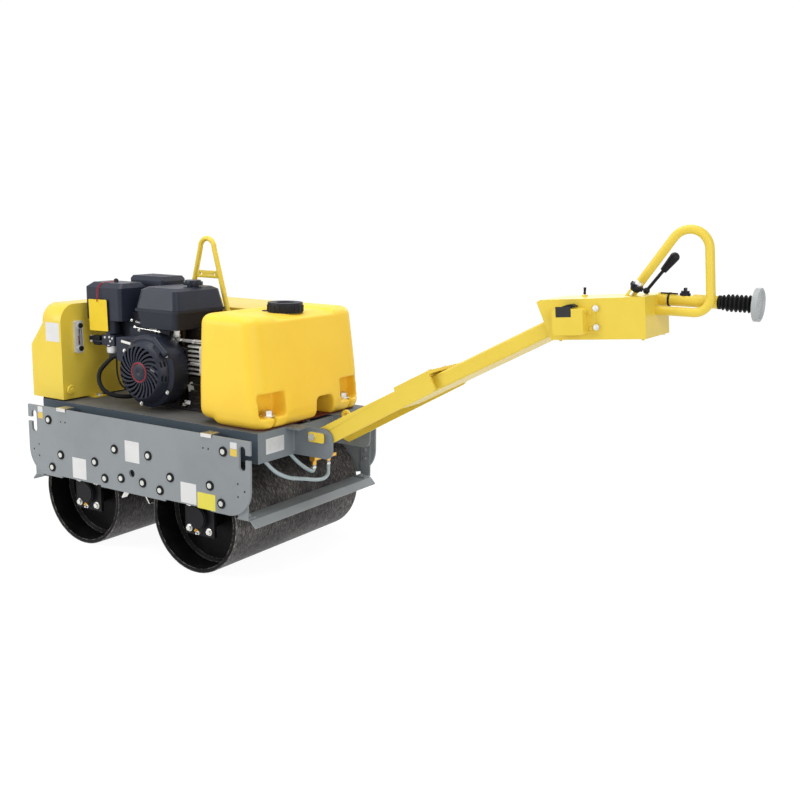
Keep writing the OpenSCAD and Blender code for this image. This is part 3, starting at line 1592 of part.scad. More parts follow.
module travel_lever() place() color(black) in_console()
    translate([lever_u, lever_y, ball_r + fit]) {
        grip_l = 46;
        grip_r = 13;
        taper = 4;
        sphere(ball_r);
        rotate([0, lever_tilt, 0]) {
            cylinder(h = lever_len, r = ball_r / 2);
            translate([0, 0, lever_len - grip_l]) cylinder(h = grip_l, r1 = grip_r - taper, r2 = grip_r);
            translate([0, 0, lever_len]) sphere(grip_r);
        }
    }

module throttle_knob() place() in_console() translate([knob_u, knob_y, 0]) rotate([0, knob_tilt, 0]) {
    star_r = 19;
    shaft_r = 5;
    shaft_l = 20;
    neck = 14;
    cone_h = 9;
    cone_r = 11;
    grip_h = 10;
    nut_r = 9;
    step = 3;
    seat = shaft_r * tan(knob_tilt) + fit;
    color(zinc) translate([0, 0, seat]) cylinder(h = shaft_l, r = shaft_r);
    color(black) translate([0, 0, seat + neck]) {
        cylinder(h = cone_h, r1 = cone_r, r2 = star_r - step);
        translate([0, 0, cone_h]) linear_extrude(grip_h) {
            circle(star_r - shaft_r);
            for (a = [0:60:300]) rotate(a) translate([star_r - shaft_r, 0]) circle(shaft_r);
        }
    }
    color(zinc) translate([0, 0, seat + neck + cone_h + grip_h]) cylinder(h = nut_r, r = nut_r);
}

module toggle_switch() place() color(black) in_console()
    translate([toggle_u, toggle_y, collar_h + bat_r + fit]) {
        sphere(bat_r);
        rotate([0, collar_h, 0]) cylinder(h = 4 * bat_r, r1 = 3 * bat_r / 4, r2 = bat_r);
    }

// Key switch on the stop tube: its pad, its barrel and the bow of the key
module ignition_key() place() color(dark_shell)
    translate([console_x + key_ahead, stop_axis_y, stop_axis_z + stop_tube_r - key_sunk + fit]) {
        collar_r = 14;
        barrel_r = 11;
        bow_t = 5;
        bow_w = 16;
        bow_h = 8;
        cylinder(h = key_seat_t, r = collar_r);
        translate([0, 0, key_seat_t]) cylinder(h = key_seat_t, r = barrel_r);
        block(-bow_t / 2, bow_t / 2, -bow_w / 2, bow_w / 2, 2 * key_seat_t, 2 * key_seat_t + bow_h);
    }

side_plate_left();
side_plate_right();
side_bolts();
deck_frame();
rubber_mounts();
mount_brackets();
drum_carriers();
hub_caps();
hub_fasteners();
front_scraper();
rear_scraper();
scraper_straps();
exciter_housing();
travel_motors();
sprinkler_pipes();
hydraulic_tank();
level_gauge();
tank_plugs();
water_tank();
cap_tether();
deck_bolts();
lifting_loop();
pump_cover();
hydraulic_pump();
engine_block();
blower_housing();
recoil_cover();
fuel_tank();
air_cleaner();
muffler();
muffler_guard();
carburettor();
control_linkage();
engine_lines();
hydraulic_hoses();
water_hoses();
water_valve();
front_drum();
rear_drum();
exciter_shaft();
crankshaft();
fan_wheel();
recoil_handle();
water_cap();
fuel_cap();
valve_lever();
lower_arm();
upper_arm();
arm_bolts();
pivot_pin();
console_box();
switch_box();
handle_loop();
bellows();
stop_plate();
travel_lever();
throttle_knob();
toggle_switch();
rocker_switch();
ignition_key();
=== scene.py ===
# %% [markdown]
# # A walk-behind tandem roller
# The construction is already modelled and packed, so this notebook only dresses it.
# Every finish is procedural, and every added piece rides on the body that carries it.

import json
import math

import bmesh
import bpy
from mathutils import Matrix, Vector


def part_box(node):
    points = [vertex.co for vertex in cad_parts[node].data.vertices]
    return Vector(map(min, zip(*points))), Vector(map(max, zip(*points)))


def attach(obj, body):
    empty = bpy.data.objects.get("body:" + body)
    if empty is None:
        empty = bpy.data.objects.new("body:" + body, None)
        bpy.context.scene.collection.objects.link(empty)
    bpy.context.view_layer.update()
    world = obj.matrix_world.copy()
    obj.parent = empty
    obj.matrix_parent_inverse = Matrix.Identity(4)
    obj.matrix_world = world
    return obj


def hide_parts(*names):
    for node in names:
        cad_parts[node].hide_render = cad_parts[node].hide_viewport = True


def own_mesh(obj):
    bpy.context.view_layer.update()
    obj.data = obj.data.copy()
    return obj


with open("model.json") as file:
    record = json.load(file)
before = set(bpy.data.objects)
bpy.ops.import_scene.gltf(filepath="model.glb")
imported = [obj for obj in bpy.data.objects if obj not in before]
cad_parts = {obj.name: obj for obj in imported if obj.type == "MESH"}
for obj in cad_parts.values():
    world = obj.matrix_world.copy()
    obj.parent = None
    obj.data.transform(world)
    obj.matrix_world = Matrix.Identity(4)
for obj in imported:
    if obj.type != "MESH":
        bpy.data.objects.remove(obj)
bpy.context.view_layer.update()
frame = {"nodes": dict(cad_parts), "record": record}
nodes = frame["nodes"]

# %% [markdown]
# ## Where things are
# Sizes below are millimetres from a datum on the ground midway between the two drums,
# which is how a drawing of this machine is dimensioned. The drums' boxes give the datum.

# %% The drawing's datum
MM = 0.001
front_low, front_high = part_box("front_drum")
rear_low, rear_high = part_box("rear_drum")
DATUM_X = (front_low.x + front_high.x + rear_low.x + rear_high.x) / 4


def at(x, y, z):
    return Vector((DATUM_X + x * MM, y * MM, z * MM))


print("datum", round(DATUM_X, 4), "m; axle height", round((rear_low.z + rear_high.z) / 2, 4), "m")

# %% [markdown]
# ## Camera
# The photograph's camera stands behind and to the left of the roller at chest height.
# Its place and angles were worked out from the drums' circles and the plates' corners.

# %% Camera
CAMERA_PLACE = at(2572.7, -2725.7, 1185.8)
CAMERA_YAW = 0.5702
CAMERA_PITCH = -0.1853
CAMERA_ROLL = 0.0145
CAMERA_LENS, CAMERA_SENSOR = 47.97, 36.0
camera_data = bpy.data.cameras.new("photo_camera")
camera_data.lens = CAMERA_LENS
camera_data.sensor_width = CAMERA_SENSOR
camera = bpy.data.objects.new("photo_camera", camera_data)
bpy.context.scene.collection.objects.link(camera)
bpy.context.scene.camera = camera
forward = Vector((
    -math.sin(CAMERA_YAW) * math.cos(CAMERA_PITCH),
    math.cos(CAMERA_YAW) * math.cos(CAMERA_PITCH),
    math.sin(CAMERA_PITCH)))
aim = forward.to_track_quat("-Z", "Y").to_matrix().to_4x4()
camera.matrix_world = Matrix.Translation(CAMERA_PLACE) @ aim @ Matrix.Rotation(CAMERA_ROLL, 4, "Z")
print("camera looks along", [round(v, 3) for v in forward])

# %% [markdown]
# ## Studio
# A white floor and a pale world give the plain background. Only camera, glossy and
# transmission rays see them as white, so that they don't wash out the object's colours.

# %% Helpers for nodes


def principled(name):
    material = bpy.data.materials.new(name)
    material.use_nodes = True
    return material, material.node_tree, material.node_tree.nodes["Principled BSDF"]


def join(value, socket):
    """Links a socket to another or sets it; a colour gets its fourth value here."""
    if isinstance(value, bpy.types.NodeSocket):
        socket.id_data.links.new(value, socket)
    else:
        socket.default_value = (*value, 1) if socket.type == "RGBA" else value


def fill(node, **inputs):
    """Joins inputs by name; an underscore stands for the space in a name."""
    for label, value in inputs.items():
        join(value, node.inputs[label.replace("_", " ")])
    return node


def add_node(tree, kind, **inputs):
    """A new node; the helpers below find the tree through the socket they start from."""
    return fill(tree.nodes.new("ShaderNode" + kind), **inputs)


def calculate(operation, first, second):
    node = add_node(first.id_data, "Math")
    node.operation = operation
    join(first, node.inputs[0])
    join(second, node.inputs[1])
    return node.outputs[0]


def multiply(first, second):
    return calculate("MULTIPLY", first, second)


def rays_that_see_white(tree):
    path = add_node(tree, "LightPath").outputs
    seen = calculate("MAXIMUM", path["Is Camera Ray"], path["Is Glossy Ray"])
    return calculate("MAXIMUM", seen, path["Is Transmission Ray"])


def mix_shaders(share, first, second):
    mixed = add_node(share.id_data, "MixShader", Fac=share)
    join(first.outputs[0], mixed.inputs[1])
    join(second.outputs[0], mixed.inputs[2])
    return mixed.outputs[0]


print("node helpers ready")

# %% Backdrop
WORLD_DIM, WORLD_WHITE = ((1.0, 0.99, 0.97), 0.42), ((1, 1, 1), 1.05)
world = bpy.data.worlds.new("studio")
bpy.context.scene.world = world
world.use_nodes = True
world_tree = world.node_tree
world_tree.nodes.clear()
dim, white = [add_node(world_tree, "Background", Color=colour, Strength=strength)
              for colour, strength in (WORLD_DIM, WORLD_WHITE)]
world_light = mix_shaders(rays_that_see_white(world_tree), dim, white)
add_node(world_tree, "OutputWorld", Surface=world_light)
print("world strengths", WORLD_DIM[1], WORLD_WHITE[1])

# %% Floor
FLOOR, FLOOR_GREY, FLOOR_GLOW, GLOW_SHARE = 9.0, 0.86, 1.12, 0.84
floor_mesh = bpy.data.meshes.new("floor")
floor_mesh.from_pydata([(-FLOOR, -FLOOR, 0), (FLOOR, -FLOOR, 0), (FLOOR, FLOOR, 0), (-FLOOR, FLOOR, 0)], [],
                       [(0, 1, 2, 3)])
floor = bpy.data.objects.new("floor", floor_mesh)
bpy.context.scene.collection.objects.link(floor)
floor_material, floor_tree, floor_shader = principled("floor_white")
fill(floor_shader, Base_Color=(FLOOR_GREY,) * 3, Roughness=0.9, Specular_IOR_Level=0.1)
glow = add_node(floor_tree, "Emission", Strength=FLOOR_GLOW)
seen_white = multiply(rays_that_see_white(floor_tree), GLOW_SHARE)
fill(floor_tree.nodes["Material Output"], Surface=mix_shaders(seen_white, floor_shader, glow))
floor_mesh.materials.append(floor_material)
bpy.context.scene.view_settings.view_transform = "Standard"
print("floor", 2 * FLOOR, "m square")

# %% [markdown]
# ## Lamps
# Four square soft lamps, each with its place, the point it faces, its width in metres and
# its power in watts. The overhead one and the left one do most of the work.

# %% Lamps
LAMPS = {
    "overhead_softbox": (at(300, -300, 3600), at(300, 0, 500), 2.6, 74),
    "left_softbox": (at(-1900, -2900, 1900), at(-100, 0, 500), 1.8, 56),
    "right_softbox": (at(3300, -1600, 1600), at(500, 0, 500), 1.6, 27),
    "back_softbox": (at(600, 3000, 2200), at(300, 0, 500), 2.0, 20),
}
for name, (place, target, width, watts) in LAMPS.items():
    lamp_data = bpy.data.lights.new(name, "AREA")
    lamp_data.shape = "SQUARE"
    lamp_data.size = width
    lamp_data.energy = watts
    lamp = bpy.data.objects.new(name, lamp_data)
    lamp.location = place
    lamp.rotation_euler = (target - place).to_track_quat("-Z", "Y").to_euler()
    bpy.context.scene.collection.objects.link(lamp)
    print(name, watts, "W")

# %% [markdown]
# ## Effects that the finishes share
# Three small node groups do most of the work: soft blotches of dust, rubbed edges found by
# comparing the true normal with a rounded one, and a fine grain for the bumps. Each gives
# one mask or height.

# %% Node groups


def new_group(name, result, **inputs):
    """A group with one output; its input sockets and the output's socket come with it."""
    tree = bpy.data.node_groups.new(name, "ShaderNodeTree")
    for label, value in inputs.items():
        socket = tree.interface.new_socket(name=label, in_out="INPUT", socket_type="NodeSocketFloat")
        socket.default_value = value
    tree.interface.new_socket(name=result, in_out="OUTPUT", socket_type="NodeSocketFloat")
    return tree, tree.nodes.new("NodeGroupInput").outputs, tree.nodes.new("NodeGroupOutput").inputs[0]


def object_place(tree, stretch=(1, 1, 1)):
    place = add_node(tree, "TexCoord").outputs["Object"]
    return add_node(tree, "Mapping", Vector=place, Scale=stretch).outputs["Vector"]


def noise(tree, scale, detail, rough, stretch=(1, 1, 1)):
    return add_node(tree, "TexNoise", Vector=object_place(tree, stretch), Scale=scale, Detail=detail,
                    Roughness=rough).outputs["Fac"]


def span(source, low, high, out_low=0.0, out_high=1.0):
    return add_node(source.id_data, "MapRange", Value=source, From_Min=low, From_Max=high,
                    To_Min=out_low, To_Max=out_high).outputs["Result"]


def make_blotches():
    tree, inlet, outlet = new_group("blotches", "Mask", Scale=6.0, Low=0.45, High=0.75)
    broad = noise(tree, inlet["Scale"], 5.0, 0.62)
    join(span(broad, inlet["Low"], inlet["High"]), outlet)
    return tree


def make_rubbed_edges():
    tree, inlet, outlet = new_group("rubbed_edges", "Mask", Width=0.002, Strength=1.0)
    rounded = add_node(tree, "Bevel", Radius=inlet["Width"])
    rounded.samples = 4
    dot = add_node(tree, "VectorMath")
    dot.operation = "DOT_PRODUCT"
    join(rounded.outputs["Normal"], dot.inputs[0])
    join(add_node(tree, "NewGeometry").outputs["True Normal"], dot.inputs[1])
    edge = span(dot.outputs["Value"], 0.97, 0.75)
    chips = span(noise(tree, 60.0, 6.0, 0.7), 0.44, 0.6)
    join(multiply(multiply(edge, chips), inlet["Strength"]), outlet)
    return tree


def make_grain():
    tree, inlet, outlet = new_group("surface_grain", "Height", Scale=400.0)
    join(noise(tree, inlet["Scale"], 3.0, 0.6), outlet)
    return tree


BLOTCHES = make_blotches()
RUBBED = make_rubbed_edges()
GRAIN = make_grain()
print("groups", [g.name for g in bpy.data.node_groups])

# %% [markdown]
# ## Finishes
# Each finish starts from its clean colour, is darkened or dusted by a group's mask, gets its
# own roughness from the same mask, and ends with a fine bump so that highlights break up.

# %% Helpers for finishes


def use_group(tree, group, **values):
    node = add_node(tree, "Group")
    node.node_tree = group
    return fill(node, **values).outputs[0]


def blend_colours(mask, first, second):
    node = add_node(mask.id_data, "Mix")
    node.data_type = "RGBA"
    join(mask, node.inputs["Factor"])
    join(first, node.inputs[6])
    join(second, node.inputs[7])
    return node.outputs[2]


def bump(height, distance):
    return add_node(height.id_data, "Bump", Height=height, Distance=distance).outputs["Normal"]


def grain_bump(tree, scale, depth):
    return bump(use_group(tree, GRAIN, Scale=scale), depth)


def axes(vector):
    return add_node(vector.id_data, "SeparateXYZ", Vector=vector).outputs


def painted(name, clean, dust_and_reflection, worn, rough=(0.3, 0.5), coat=0.0, peel=0.00006, edge=0.6, blotch=5.0,
            edge_width=0.0016, shine=0.3):
    material, tree, shader = principled(name)
    blotch_mask = use_group(tree, BLOTCHES, Scale=blotch, Low=0.42, High=0.78)
    rubbed = use_group(tree, RUBBED, Width=edge_width, Strength=edge)
    colour = blend_colours(rubbed, blend_colours(blotch_mask, clean, dust_and_reflection), worn)
    fill(shader, Base_Color=colour, Roughness=span(blotch_mask, 0, 1, *rough),
         Normal=grain_bump(tree, 260.0, peel), Specular_IOR_Level=shine, Coat_Weight=coat,
         Coat_Roughness=0.12)
    return material


print("finish helpers ready")

# %% [markdown]
# ## Paint, plastic and rubber
# Each row holds the clean colour, the dusty one and that of rubbed edges, then what differs
# from ordinary paint: roughness, coat, the bump's depth, the wear of edges and the shine. On
# the casting in shade the dusty colour is a painted reflection of the yellow parts.

# %% Paint, plastic and rubber
LABEL = dict(rough=(0.3, 0.45), peel=0.00003, edge=0.1, blotch=9.0)
PAINTS = {
    "yellow_paint": ((0.79, 0.595, 0.068), (0.735, 0.54, 0.052), (0.60, 0.40, 0.05),
        dict(rough=(0.34, 0.46), coat=0.08, edge=0.3)),
    "yellow_tube": ((0.79, 0.595, 0.068), (0.78, 0.585, 0.066), (0.60, 0.40, 0.05),
        dict(rough=(0.40, 0.42), coat=0.08, peel=0.000005, edge=0.0)),
    "yellow_plastic": ((0.98, 0.66, 0.06), (0.95, 0.61, 0.05), (1.0, 0.74, 0.16),
        dict(rough=(0.42, 0.52), peel=0.00022, edge=0.2)),
    "grey_paint": ((0.258, 0.280, 0.297), (0.228, 0.247, 0.262), (0.16, 0.17, 0.18),
        dict(rough=(0.42, 0.58), edge=0.5)),
    "black_paint": ((0.006, 0.006, 0.008), (0.014, 0.014, 0.016), (0.08, 0.08, 0.08),
        dict(rough=(0.4, 0.6), edge=0.4, shine=0.15)),
    "engine_shell": ((0.016, 0.019, 0.033), (0.023, 0.027, 0.044), (0.07, 0.075, 0.10),
        dict(rough=(0.34, 0.48), peel=0.0002, edge=0.5, shine=0.24)),
    "black_plastic": ((0.009, 0.010, 0.015), (0.016, 0.018, 0.026), (0.06, 0.065, 0.08),
        dict(rough=(0.4, 0.58), edge=0.3, shine=0.18)),
    "black_rubber": ((0.006, 0.006, 0.007), (0.014, 0.014, 0.015), (0.03, 0.03, 0.03),
        dict(rough=(0.5, 0.7), peel=0.0003, edge=0.2, shine=0.15)),
    "muffler_steel": ((0.014, 0.013, 0.014), (0.030, 0.025, 0.023), (0.09, 0.08, 0.07),
        dict(rough=(0.55, 0.8), edge=0.4, shine=0.15)),
    # Painted shade: cast alloy darkened to near black, with brown patches of painted reflection from the
    # yellow parts and pale rubbed edges.
    "engine_casting": ((0.010, 0.010, 0.014), (0.040, 0.024, 0.013), (0.35, 0.34, 0.33),
        dict(rough=(0.45, 0.7), peel=0.0004, edge=0.9, blotch=11.0, shine=0.18)),
    "stop_disc": ((0.40, 0.425, 0.43), (0.35, 0.37, 0.375), (0.66, 0.67, 0.66),
        dict(rough=(0.35, 0.5), edge=0.9, edge_width=0.003, blotch=14.0, peel=0.00003)),
    "bolt_caps": ((0.66, 0.68, 0.63), (0.55, 0.57, 0.53), (0.74, 0.74, 0.70),
        dict(rough=(0.25, 0.4), edge=0.1)),
    "label_white": ((0.70, 0.70, 0.70), (0.60, 0.60, 0.60), (0.5, 0.5, 0.5), LABEL),
    "label_amber": ((0.74, 0.53, 0.09), (0.68, 0.48, 0.08), (0.6, 0.4, 0.1), LABEL),
    "label_green": ((0.76, 0.66, 0.085), (0.62, 0.63, 0.05), (0.5, 0.5, 0.05), LABEL),
    "label_black": ((0.02, 0.02, 0.022), (0.03, 0.03, 0.032), (0.08, 0.08, 0.08), LABEL),
    "card_yellow": ((0.78, 0.56, 0.02), (0.72, 0.50, 0.02), (0.85, 0.68, 0.2),
        dict(rough=(0.5, 0.65), peel=0.00006, edge=0.3, blotch=12.0)),
    "red_ring": ((0.30, 0.012, 0.02), (0.24, 0.012, 0.02), (0.4, 0.1, 0.1),
        dict(rough=(0.3, 0.4), peel=0.00003, edge=0.1)),
    "red_string": ((0.48, 0.012, 0.018), (0.38, 0.012, 0.018), (0.5, 0.1, 0.1),
        dict(rough=(0.6, 0.8), peel=0.0002, edge=0.0, blotch=60.0)),
    "red_rubber": ((0.13, 0.018, 0.014), (0.09, 0.02, 0.016), (0.15, 0.05, 0.04),
        dict(rough=(0.6, 0.8), peel=0.0002, edge=0.1)),
}
FINISHES = {name: painted(name, *colours, **options) for name, (*colours, options) in PAINTS.items()}
print("painted finishes", len(FINISHES))

# %% [markdown]
# ## Bare metal
# Zinc, cast alloy and brass are brighter on their rubbed edges and dull in soft patches.

# %% Metals


def bare_metal(name, bright, dull, rough=(0.25, 0.45), peel=0.0001, metal=1.0):
    material, tree, shader = principled(name)
    patches = use_group(tree, BLOTCHES, Scale=18.0, Low=0.38, High=0.7)
    rubbed = use_group(tree, RUBBED, Width=0.0012, Strength=0.3)
    worn = tuple(min(1, v * 1.25) for v in bright)
    colour = blend_colours(rubbed, blend_colours(patches, bright, dull), worn)
    fill(shader, Base_Color=colour, Roughness=span(patches, 0, 1, *rough),
         Normal=grain_bump(tree, 500.0, peel), Metallic=metal)
    return material


METALS = {
    "zinc_steel": ((0.78, 0.775, 0.75), (0.60, 0.585, 0.55), {}),
    "plain_aluminium": ((0.70, 0.71, 0.72), (0.58, 0.59, 0.60), dict(rough=(0.4, 0.55), metal=0.25)),
    "cast_alloy": ((0.66, 0.65, 0.62), (0.46, 0.45, 0.43), dict(rough=(0.42, 0.62), peel=0.0005)),
    "shaft_steel": ((0.62, 0.61, 0.60), (0.5, 0.48, 0.46), dict(rough=(0.2, 0.35))),
    "brass_orange": ((0.95, 0.55, 0.08), (0.8, 0.42, 0.06), dict(rough=(0.25, 0.4), metal=0.6)),
}
for name, (bright, dull, options) in METALS.items():
    FINISHES[name] = bare_metal(name, bright, dull, **options)
print("metals", len(METALS))

# %% [markdown]
# ## Drums
# Streaks of bare steel run round each rolled drum, thickest where broad noise lets them. The
# edge is worn bright, and everything inside the shell is black paint with a little soil. The
# distance from the drum's middle, squared, tells outside from inside.

# %% Drum steel
SHELL_INNER, SHELL_OUTER = 0.2395, 0.2435


def drum_steel():
    material, tree, shader = principled("drum_steel")
    across = noise(tree, 260.0, 6.0, 0.75, (0.24, 1.0, 0.24))
    broad = noise(tree, 4.5, 5.0, 0.62)
    pits = noise(tree, 260.0, 4.0, 0.65)
    soil = noise(tree, 16.0, 5.0, 0.6)
    patches = span(broad, 0.44, 0.66)
    colour = blend_colours(patches, (0.018, 0.015, 0.018), (0.055, 0.048, 0.049))
    wear = span(broad, 0.36, 0.62, 0.35, 1.0)
    streaks = multiply(span(across, 0.47, 0.65), wear)
    colour = blend_colours(streaks, colour, (0.29, 0.28, 0.26))
    specks = multiply(span(pits, 0.58, 0.66), patches)
    colour = blend_colours(specks, colour, (0.40, 0.37, 0.33))
    place = axes(add_node(tree, "TexCoord").outputs["Generated"])
    squares = []
    for axis in ("X", "Z"):
        centred = calculate("SUBTRACT", place[axis], 0.5)
        squares.append(multiply(centred, centred))
    outside = span(calculate("ADD", *squares), SHELL_INNER, SHELL_OUTER)
    soiled = span(soil, 0.45, 0.75)
    inside = blend_colours(soiled, (0.0035, 0.0035, 0.004), (0.011, 0.010, 0.010))
    colour = blend_colours(outside, inside, colour)
    rubbed = use_group(tree, RUBBED, Width=0.004, Strength=1.0)
    colour = blend_colours(rubbed, colour, (0.42, 0.40, 0.35))
    fill(shader, Base_Color=colour, Roughness=span(across, 0.35, 0.7, 0.5, 0.34),
         Normal=bump(pits, 0.0005), Specular_IOR_Level=0.12)
    return material


FINISHES["drum_steel"] = drum_steel()
print("drum steel ready")

# %% [markdown]
# ## Deck
# The deck is slate with soft blotches of dust, and the faces that look up are a darker grey.
# Its two outer flanks, more than 0.22 m from the centre plane, carry painted shade: their
# sideways faces darken where the side plates shade the gap behind them.

# %% Deck paint
SHADED_FLANK_FROM, SHADED_FLANK_FULL = 0.05, 0.08


def deck_paint():
    material, tree, shader = principled("deck_paint")
    blotch_mask = use_group(tree, BLOTCHES, Scale=7.0, Low=0.38, High=0.72)
    rubbed = use_group(tree, RUBBED, Width=0.003, Strength=0.8)
    facing = axes(add_node(tree, "NewGeometry").outputs["Normal"])
    place = axes(object_place(tree))
    # Painted shade: on the outer flanks the sideways faces blend to a dark slate, which stands in for the
    # side plates' shade in the gap.
    outermost = span(multiply(place["Y"], place["Y"]), SHADED_FLANK_FROM, SHADED_FLANK_FULL)
    flank = multiply(multiply(facing["Y"], facing["Y"]), outermost)
    sides = blend_colours(blotch_mask, (0.205, 0.235, 0.260), (0.170, 0.192, 0.210))
    sides = blend_colours(flank, sides, (0.058, 0.078, 0.100))
    tops = blend_colours(blotch_mask, (0.122, 0.124, 0.124), (0.094, 0.091, 0.086))
    colour = blend_colours(span(facing["Z"], 0.5, 0.9), sides, tops)
    colour = blend_colours(rubbed, colour, (0.30, 0.32, 0.33))
    fill(shader, Base_Color=colour, Roughness=span(blotch_mask, 0, 1, 0.42, 0.62),
         Normal=grain_bump(tree, 260.0, 0.00012), Specular_IOR_Level=0.3)
    return material


FINISHES["deck_paint"] = deck_paint()
print("deck paint ready")

# %% [markdown]
# ## Water hose and gauge glass
# The hose is a milky tube that lets a little light into its skin. The gauge is plain glass
# with a faint haze in its roughness.

# %% Clear materials


def clear_tube():
    material, tree, shader = principled("clear_hose")
    haze = use_group(tree, BLOTCHES, Scale=14.0, Low=0.35, High=0.7)
    colour = blend_colours(haze, (0.34, 0.43, 0.47), (0.46, 0.54, 0.56))
    fill(shader, Base_Color=colour, Roughness=0.22, Subsurface_Weight=0.25,
         Subsurface_Radius=(0.01, 0.012, 0.012))
    return material


def sight_glass():
    material, tree, shader = principled("sight_glass")
    haze = use_group(tree, BLOTCHES, Scale=30.0, Low=0.3, High=0.8)
    fill(shader, Base_Color=(0.86, 0.9, 0.88), Transmission_Weight=1.0, IOR=1.46,
         Roughness=span(haze, 0, 1, 0.03, 0.14))
    return material


FINISHES["clear_hose"] = clear_tube()
FINISHES["sight_glass"] = sight_glass()
print("finishes", len(FINISHES))

# %% [markdown]
# ## Dress the nodes
# A node wears the finish of its material slot, unless the photograph shows it otherwise.

# %% Give every node its finish
slot_of = {part["node"]: part["material_slot"] for part in frame["record"]["subparts"]}
OWN_FINISH = {
    # The engine block wears cast alloy with painted shade.
    "muffler_guard": "engine_shell", "engine_block": "engine_casting", "level_gauge": "plain_aluminium",
    "deck_frame": "deck_paint", "handle_loop": "yellow_tube", "lifting_loop": "yellow_tube",
}
for name, node in nodes.items():
    node.data.materials.clear()
    node.data.materials.append(FINISHES[OWN_FINISH.get(name, slot_of[name])])
print("dressed", len(nodes), "nodes")

# %% [markdown]
# ## Softened edges
# Sheet metal and castings have small radii, and these catch the light. A weld joins the
# packed triangles and a bevel by angle rounds the edges without moving a face. The two bent
# tubes need no bevel: they are only welded and shaded evenly.

# %% Round the sharp edges
EDGE_RADII = {
    "hydraulic_tank": 3.0,
    "lower_arm": 1.6, "console_box": 2.5, "switch_box": 2.0, "pump_cover": 2.0, "mount_brackets": 1.0,
    "front_scraper": 1.0, "rear_scraper": 1.0, "blower_housing": 1.5, "recoil_cover": 0.8,
    "level_gauge": 0.8, "scraper_straps": 1.0, "fuel_cap": 1.0, "water_cap": 1.0, "throttle_knob": 0.8,
}
WELD_GAP = 0.00002
BEVEL_FROM = math.radians(35)


def weld(node):
    node.modifiers.new("join_triangles", "WELD").merge_threshold = WELD_GAP


for name, radius in EDGE_RADII.items():
    weld(nodes[name])
    rounding = nodes[name].modifiers.new("edge_radius", "BEVEL")
    rounding.width = radius * MM
    rounding.segments = 2
    rounding.limit_method = "ANGLE"
    rounding.angle_limit = BEVEL_FROM
    rounding.harden_normals = True
for name in ("handle_loop", "lifting_loop"):
    weld(nodes[name])
    nodes[name].modifiers.new("even_shading", "WEIGHTED_NORMAL")
print("rounded", len(EDGE_RADII), "nodes")

# %% [markdown]
# ## Pieces that the solids leave out
# Blank labels, hoses, clamps, weld beads and strings are too thin or too soft for the solid
# model. Each one is built here as a small mesh and rides on the body that carries it. Three
# shapes cover most of them: a flat plate with rounded corners, a tube that follows a path
# and a turned ring, with their sizes in millimetres.

# %% Adding a piece
PIECES = []
ACROSS, UPRIGHT, INWARD, OUTWARD = (1, 0, 0), (0, 0, 1), (0, 1, 0), (0, -1, 0)


def to_data(name, mesh):
    data = bpy.data.meshes.new(name)
    mesh.to_mesh(data)
    mesh.free()
    return data


def add_piece(name, mesh, finish, slot=None, body="frame", smooth=False):
    """Adds one piece that wears the finish; the slot argument is not used."""
    slot = slot or finish
    piece = bpy.data.objects.new(name, mesh)
    bpy.context.scene.collection.objects.link(piece)
    mesh.materials.clear()
    mesh.materials.append(FINISHES[finish])
    for polygon in mesh.polygons:
        polygon.use_smooth = smooth
    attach(piece, body)
    PIECES.append(name)
    return piece


def add_joined(name, parts, *finish_and_slot, **options):
    mesh = bmesh.new()
    for part in parts:
        mesh.from_mesh(part)
        bpy.data.meshes.remove(part)
    return add_piece(name, to_data(name, mesh), *finish_and_slot, **options)


print("pieces so far", len(PIECES))

# %% Flat plates


def rounded_outline(width, height, corner, steps=5):
    outline = []
    for k, (su, sv) in enumerate(((1, 1), (-1, 1), (-1, -1), (1, -1))):
        for step in range(steps + 1):
            turn = math.radians(90 * k + 90 * step / steps)
            outline.append((su * (width / 2 - corner) + corner * math.cos(turn),
                            sv * (height / 2 - corner) + corner * math.sin(turn)))
    return outline


def plate_mesh(name, centre, across, up, width, height, thick, corner=2.0, edge=0.3):
    """A thin plate with its back on centre; its face looks along across x up."""
    across, up = Vector(across).normalized(), Vector(up).normalized()
    out = across.cross(up)
    edge = min(edge, thick / 3)
    mesh = bmesh.new()
    rings = []
    for inset, lift in ((0, 0), (0, thick - edge), (edge, thick)):
        outline = rounded_outline(width - 2 * inset, height - 2 * inset, corner)
        rings.append([mesh.verts.new(centre + (across * u + up * v + out * lift) * MM) for u, v in outline])
    for low, high in zip(rings, rings[1:]):
        for k in range(len(low)):
            mesh.faces.new((low[k - 1], low[k], high[k], high[k - 1]))
    mesh.faces.new(rings[-1])
    mesh.faces.new(rings[0][::-1])
    return to_data(name, mesh)


def near_plate(name, place, *sizes):
    """A plate that looks at the near side, where the starter is."""
    return plate_mesh(name, at(*place), ACROSS, UPRIGHT, *sizes)


print("corner points", len(rounded_outline(10, 10, 2)))

# %% Tubes
SLOW_RIPPLE, FAST_RIPPLE, FAST_SHARE = 2.4, 7.1, 0.4


def rounded_path(points, rounds=4):
    """Corner cutting: each round replaces a corner by two points at a quarter of its sides."""
    for _ in range(rounds):
        cut = [points[0]]
        for first, second in zip(points, points[1:]):
            cut += [first.lerp(second, 0.25), first.lerp(second, 0.75)]
        points = cut + [points[-1]]
    return points


def path_length(points):
    return sum((second - first).length for first, second in zip(points, points[1:]))


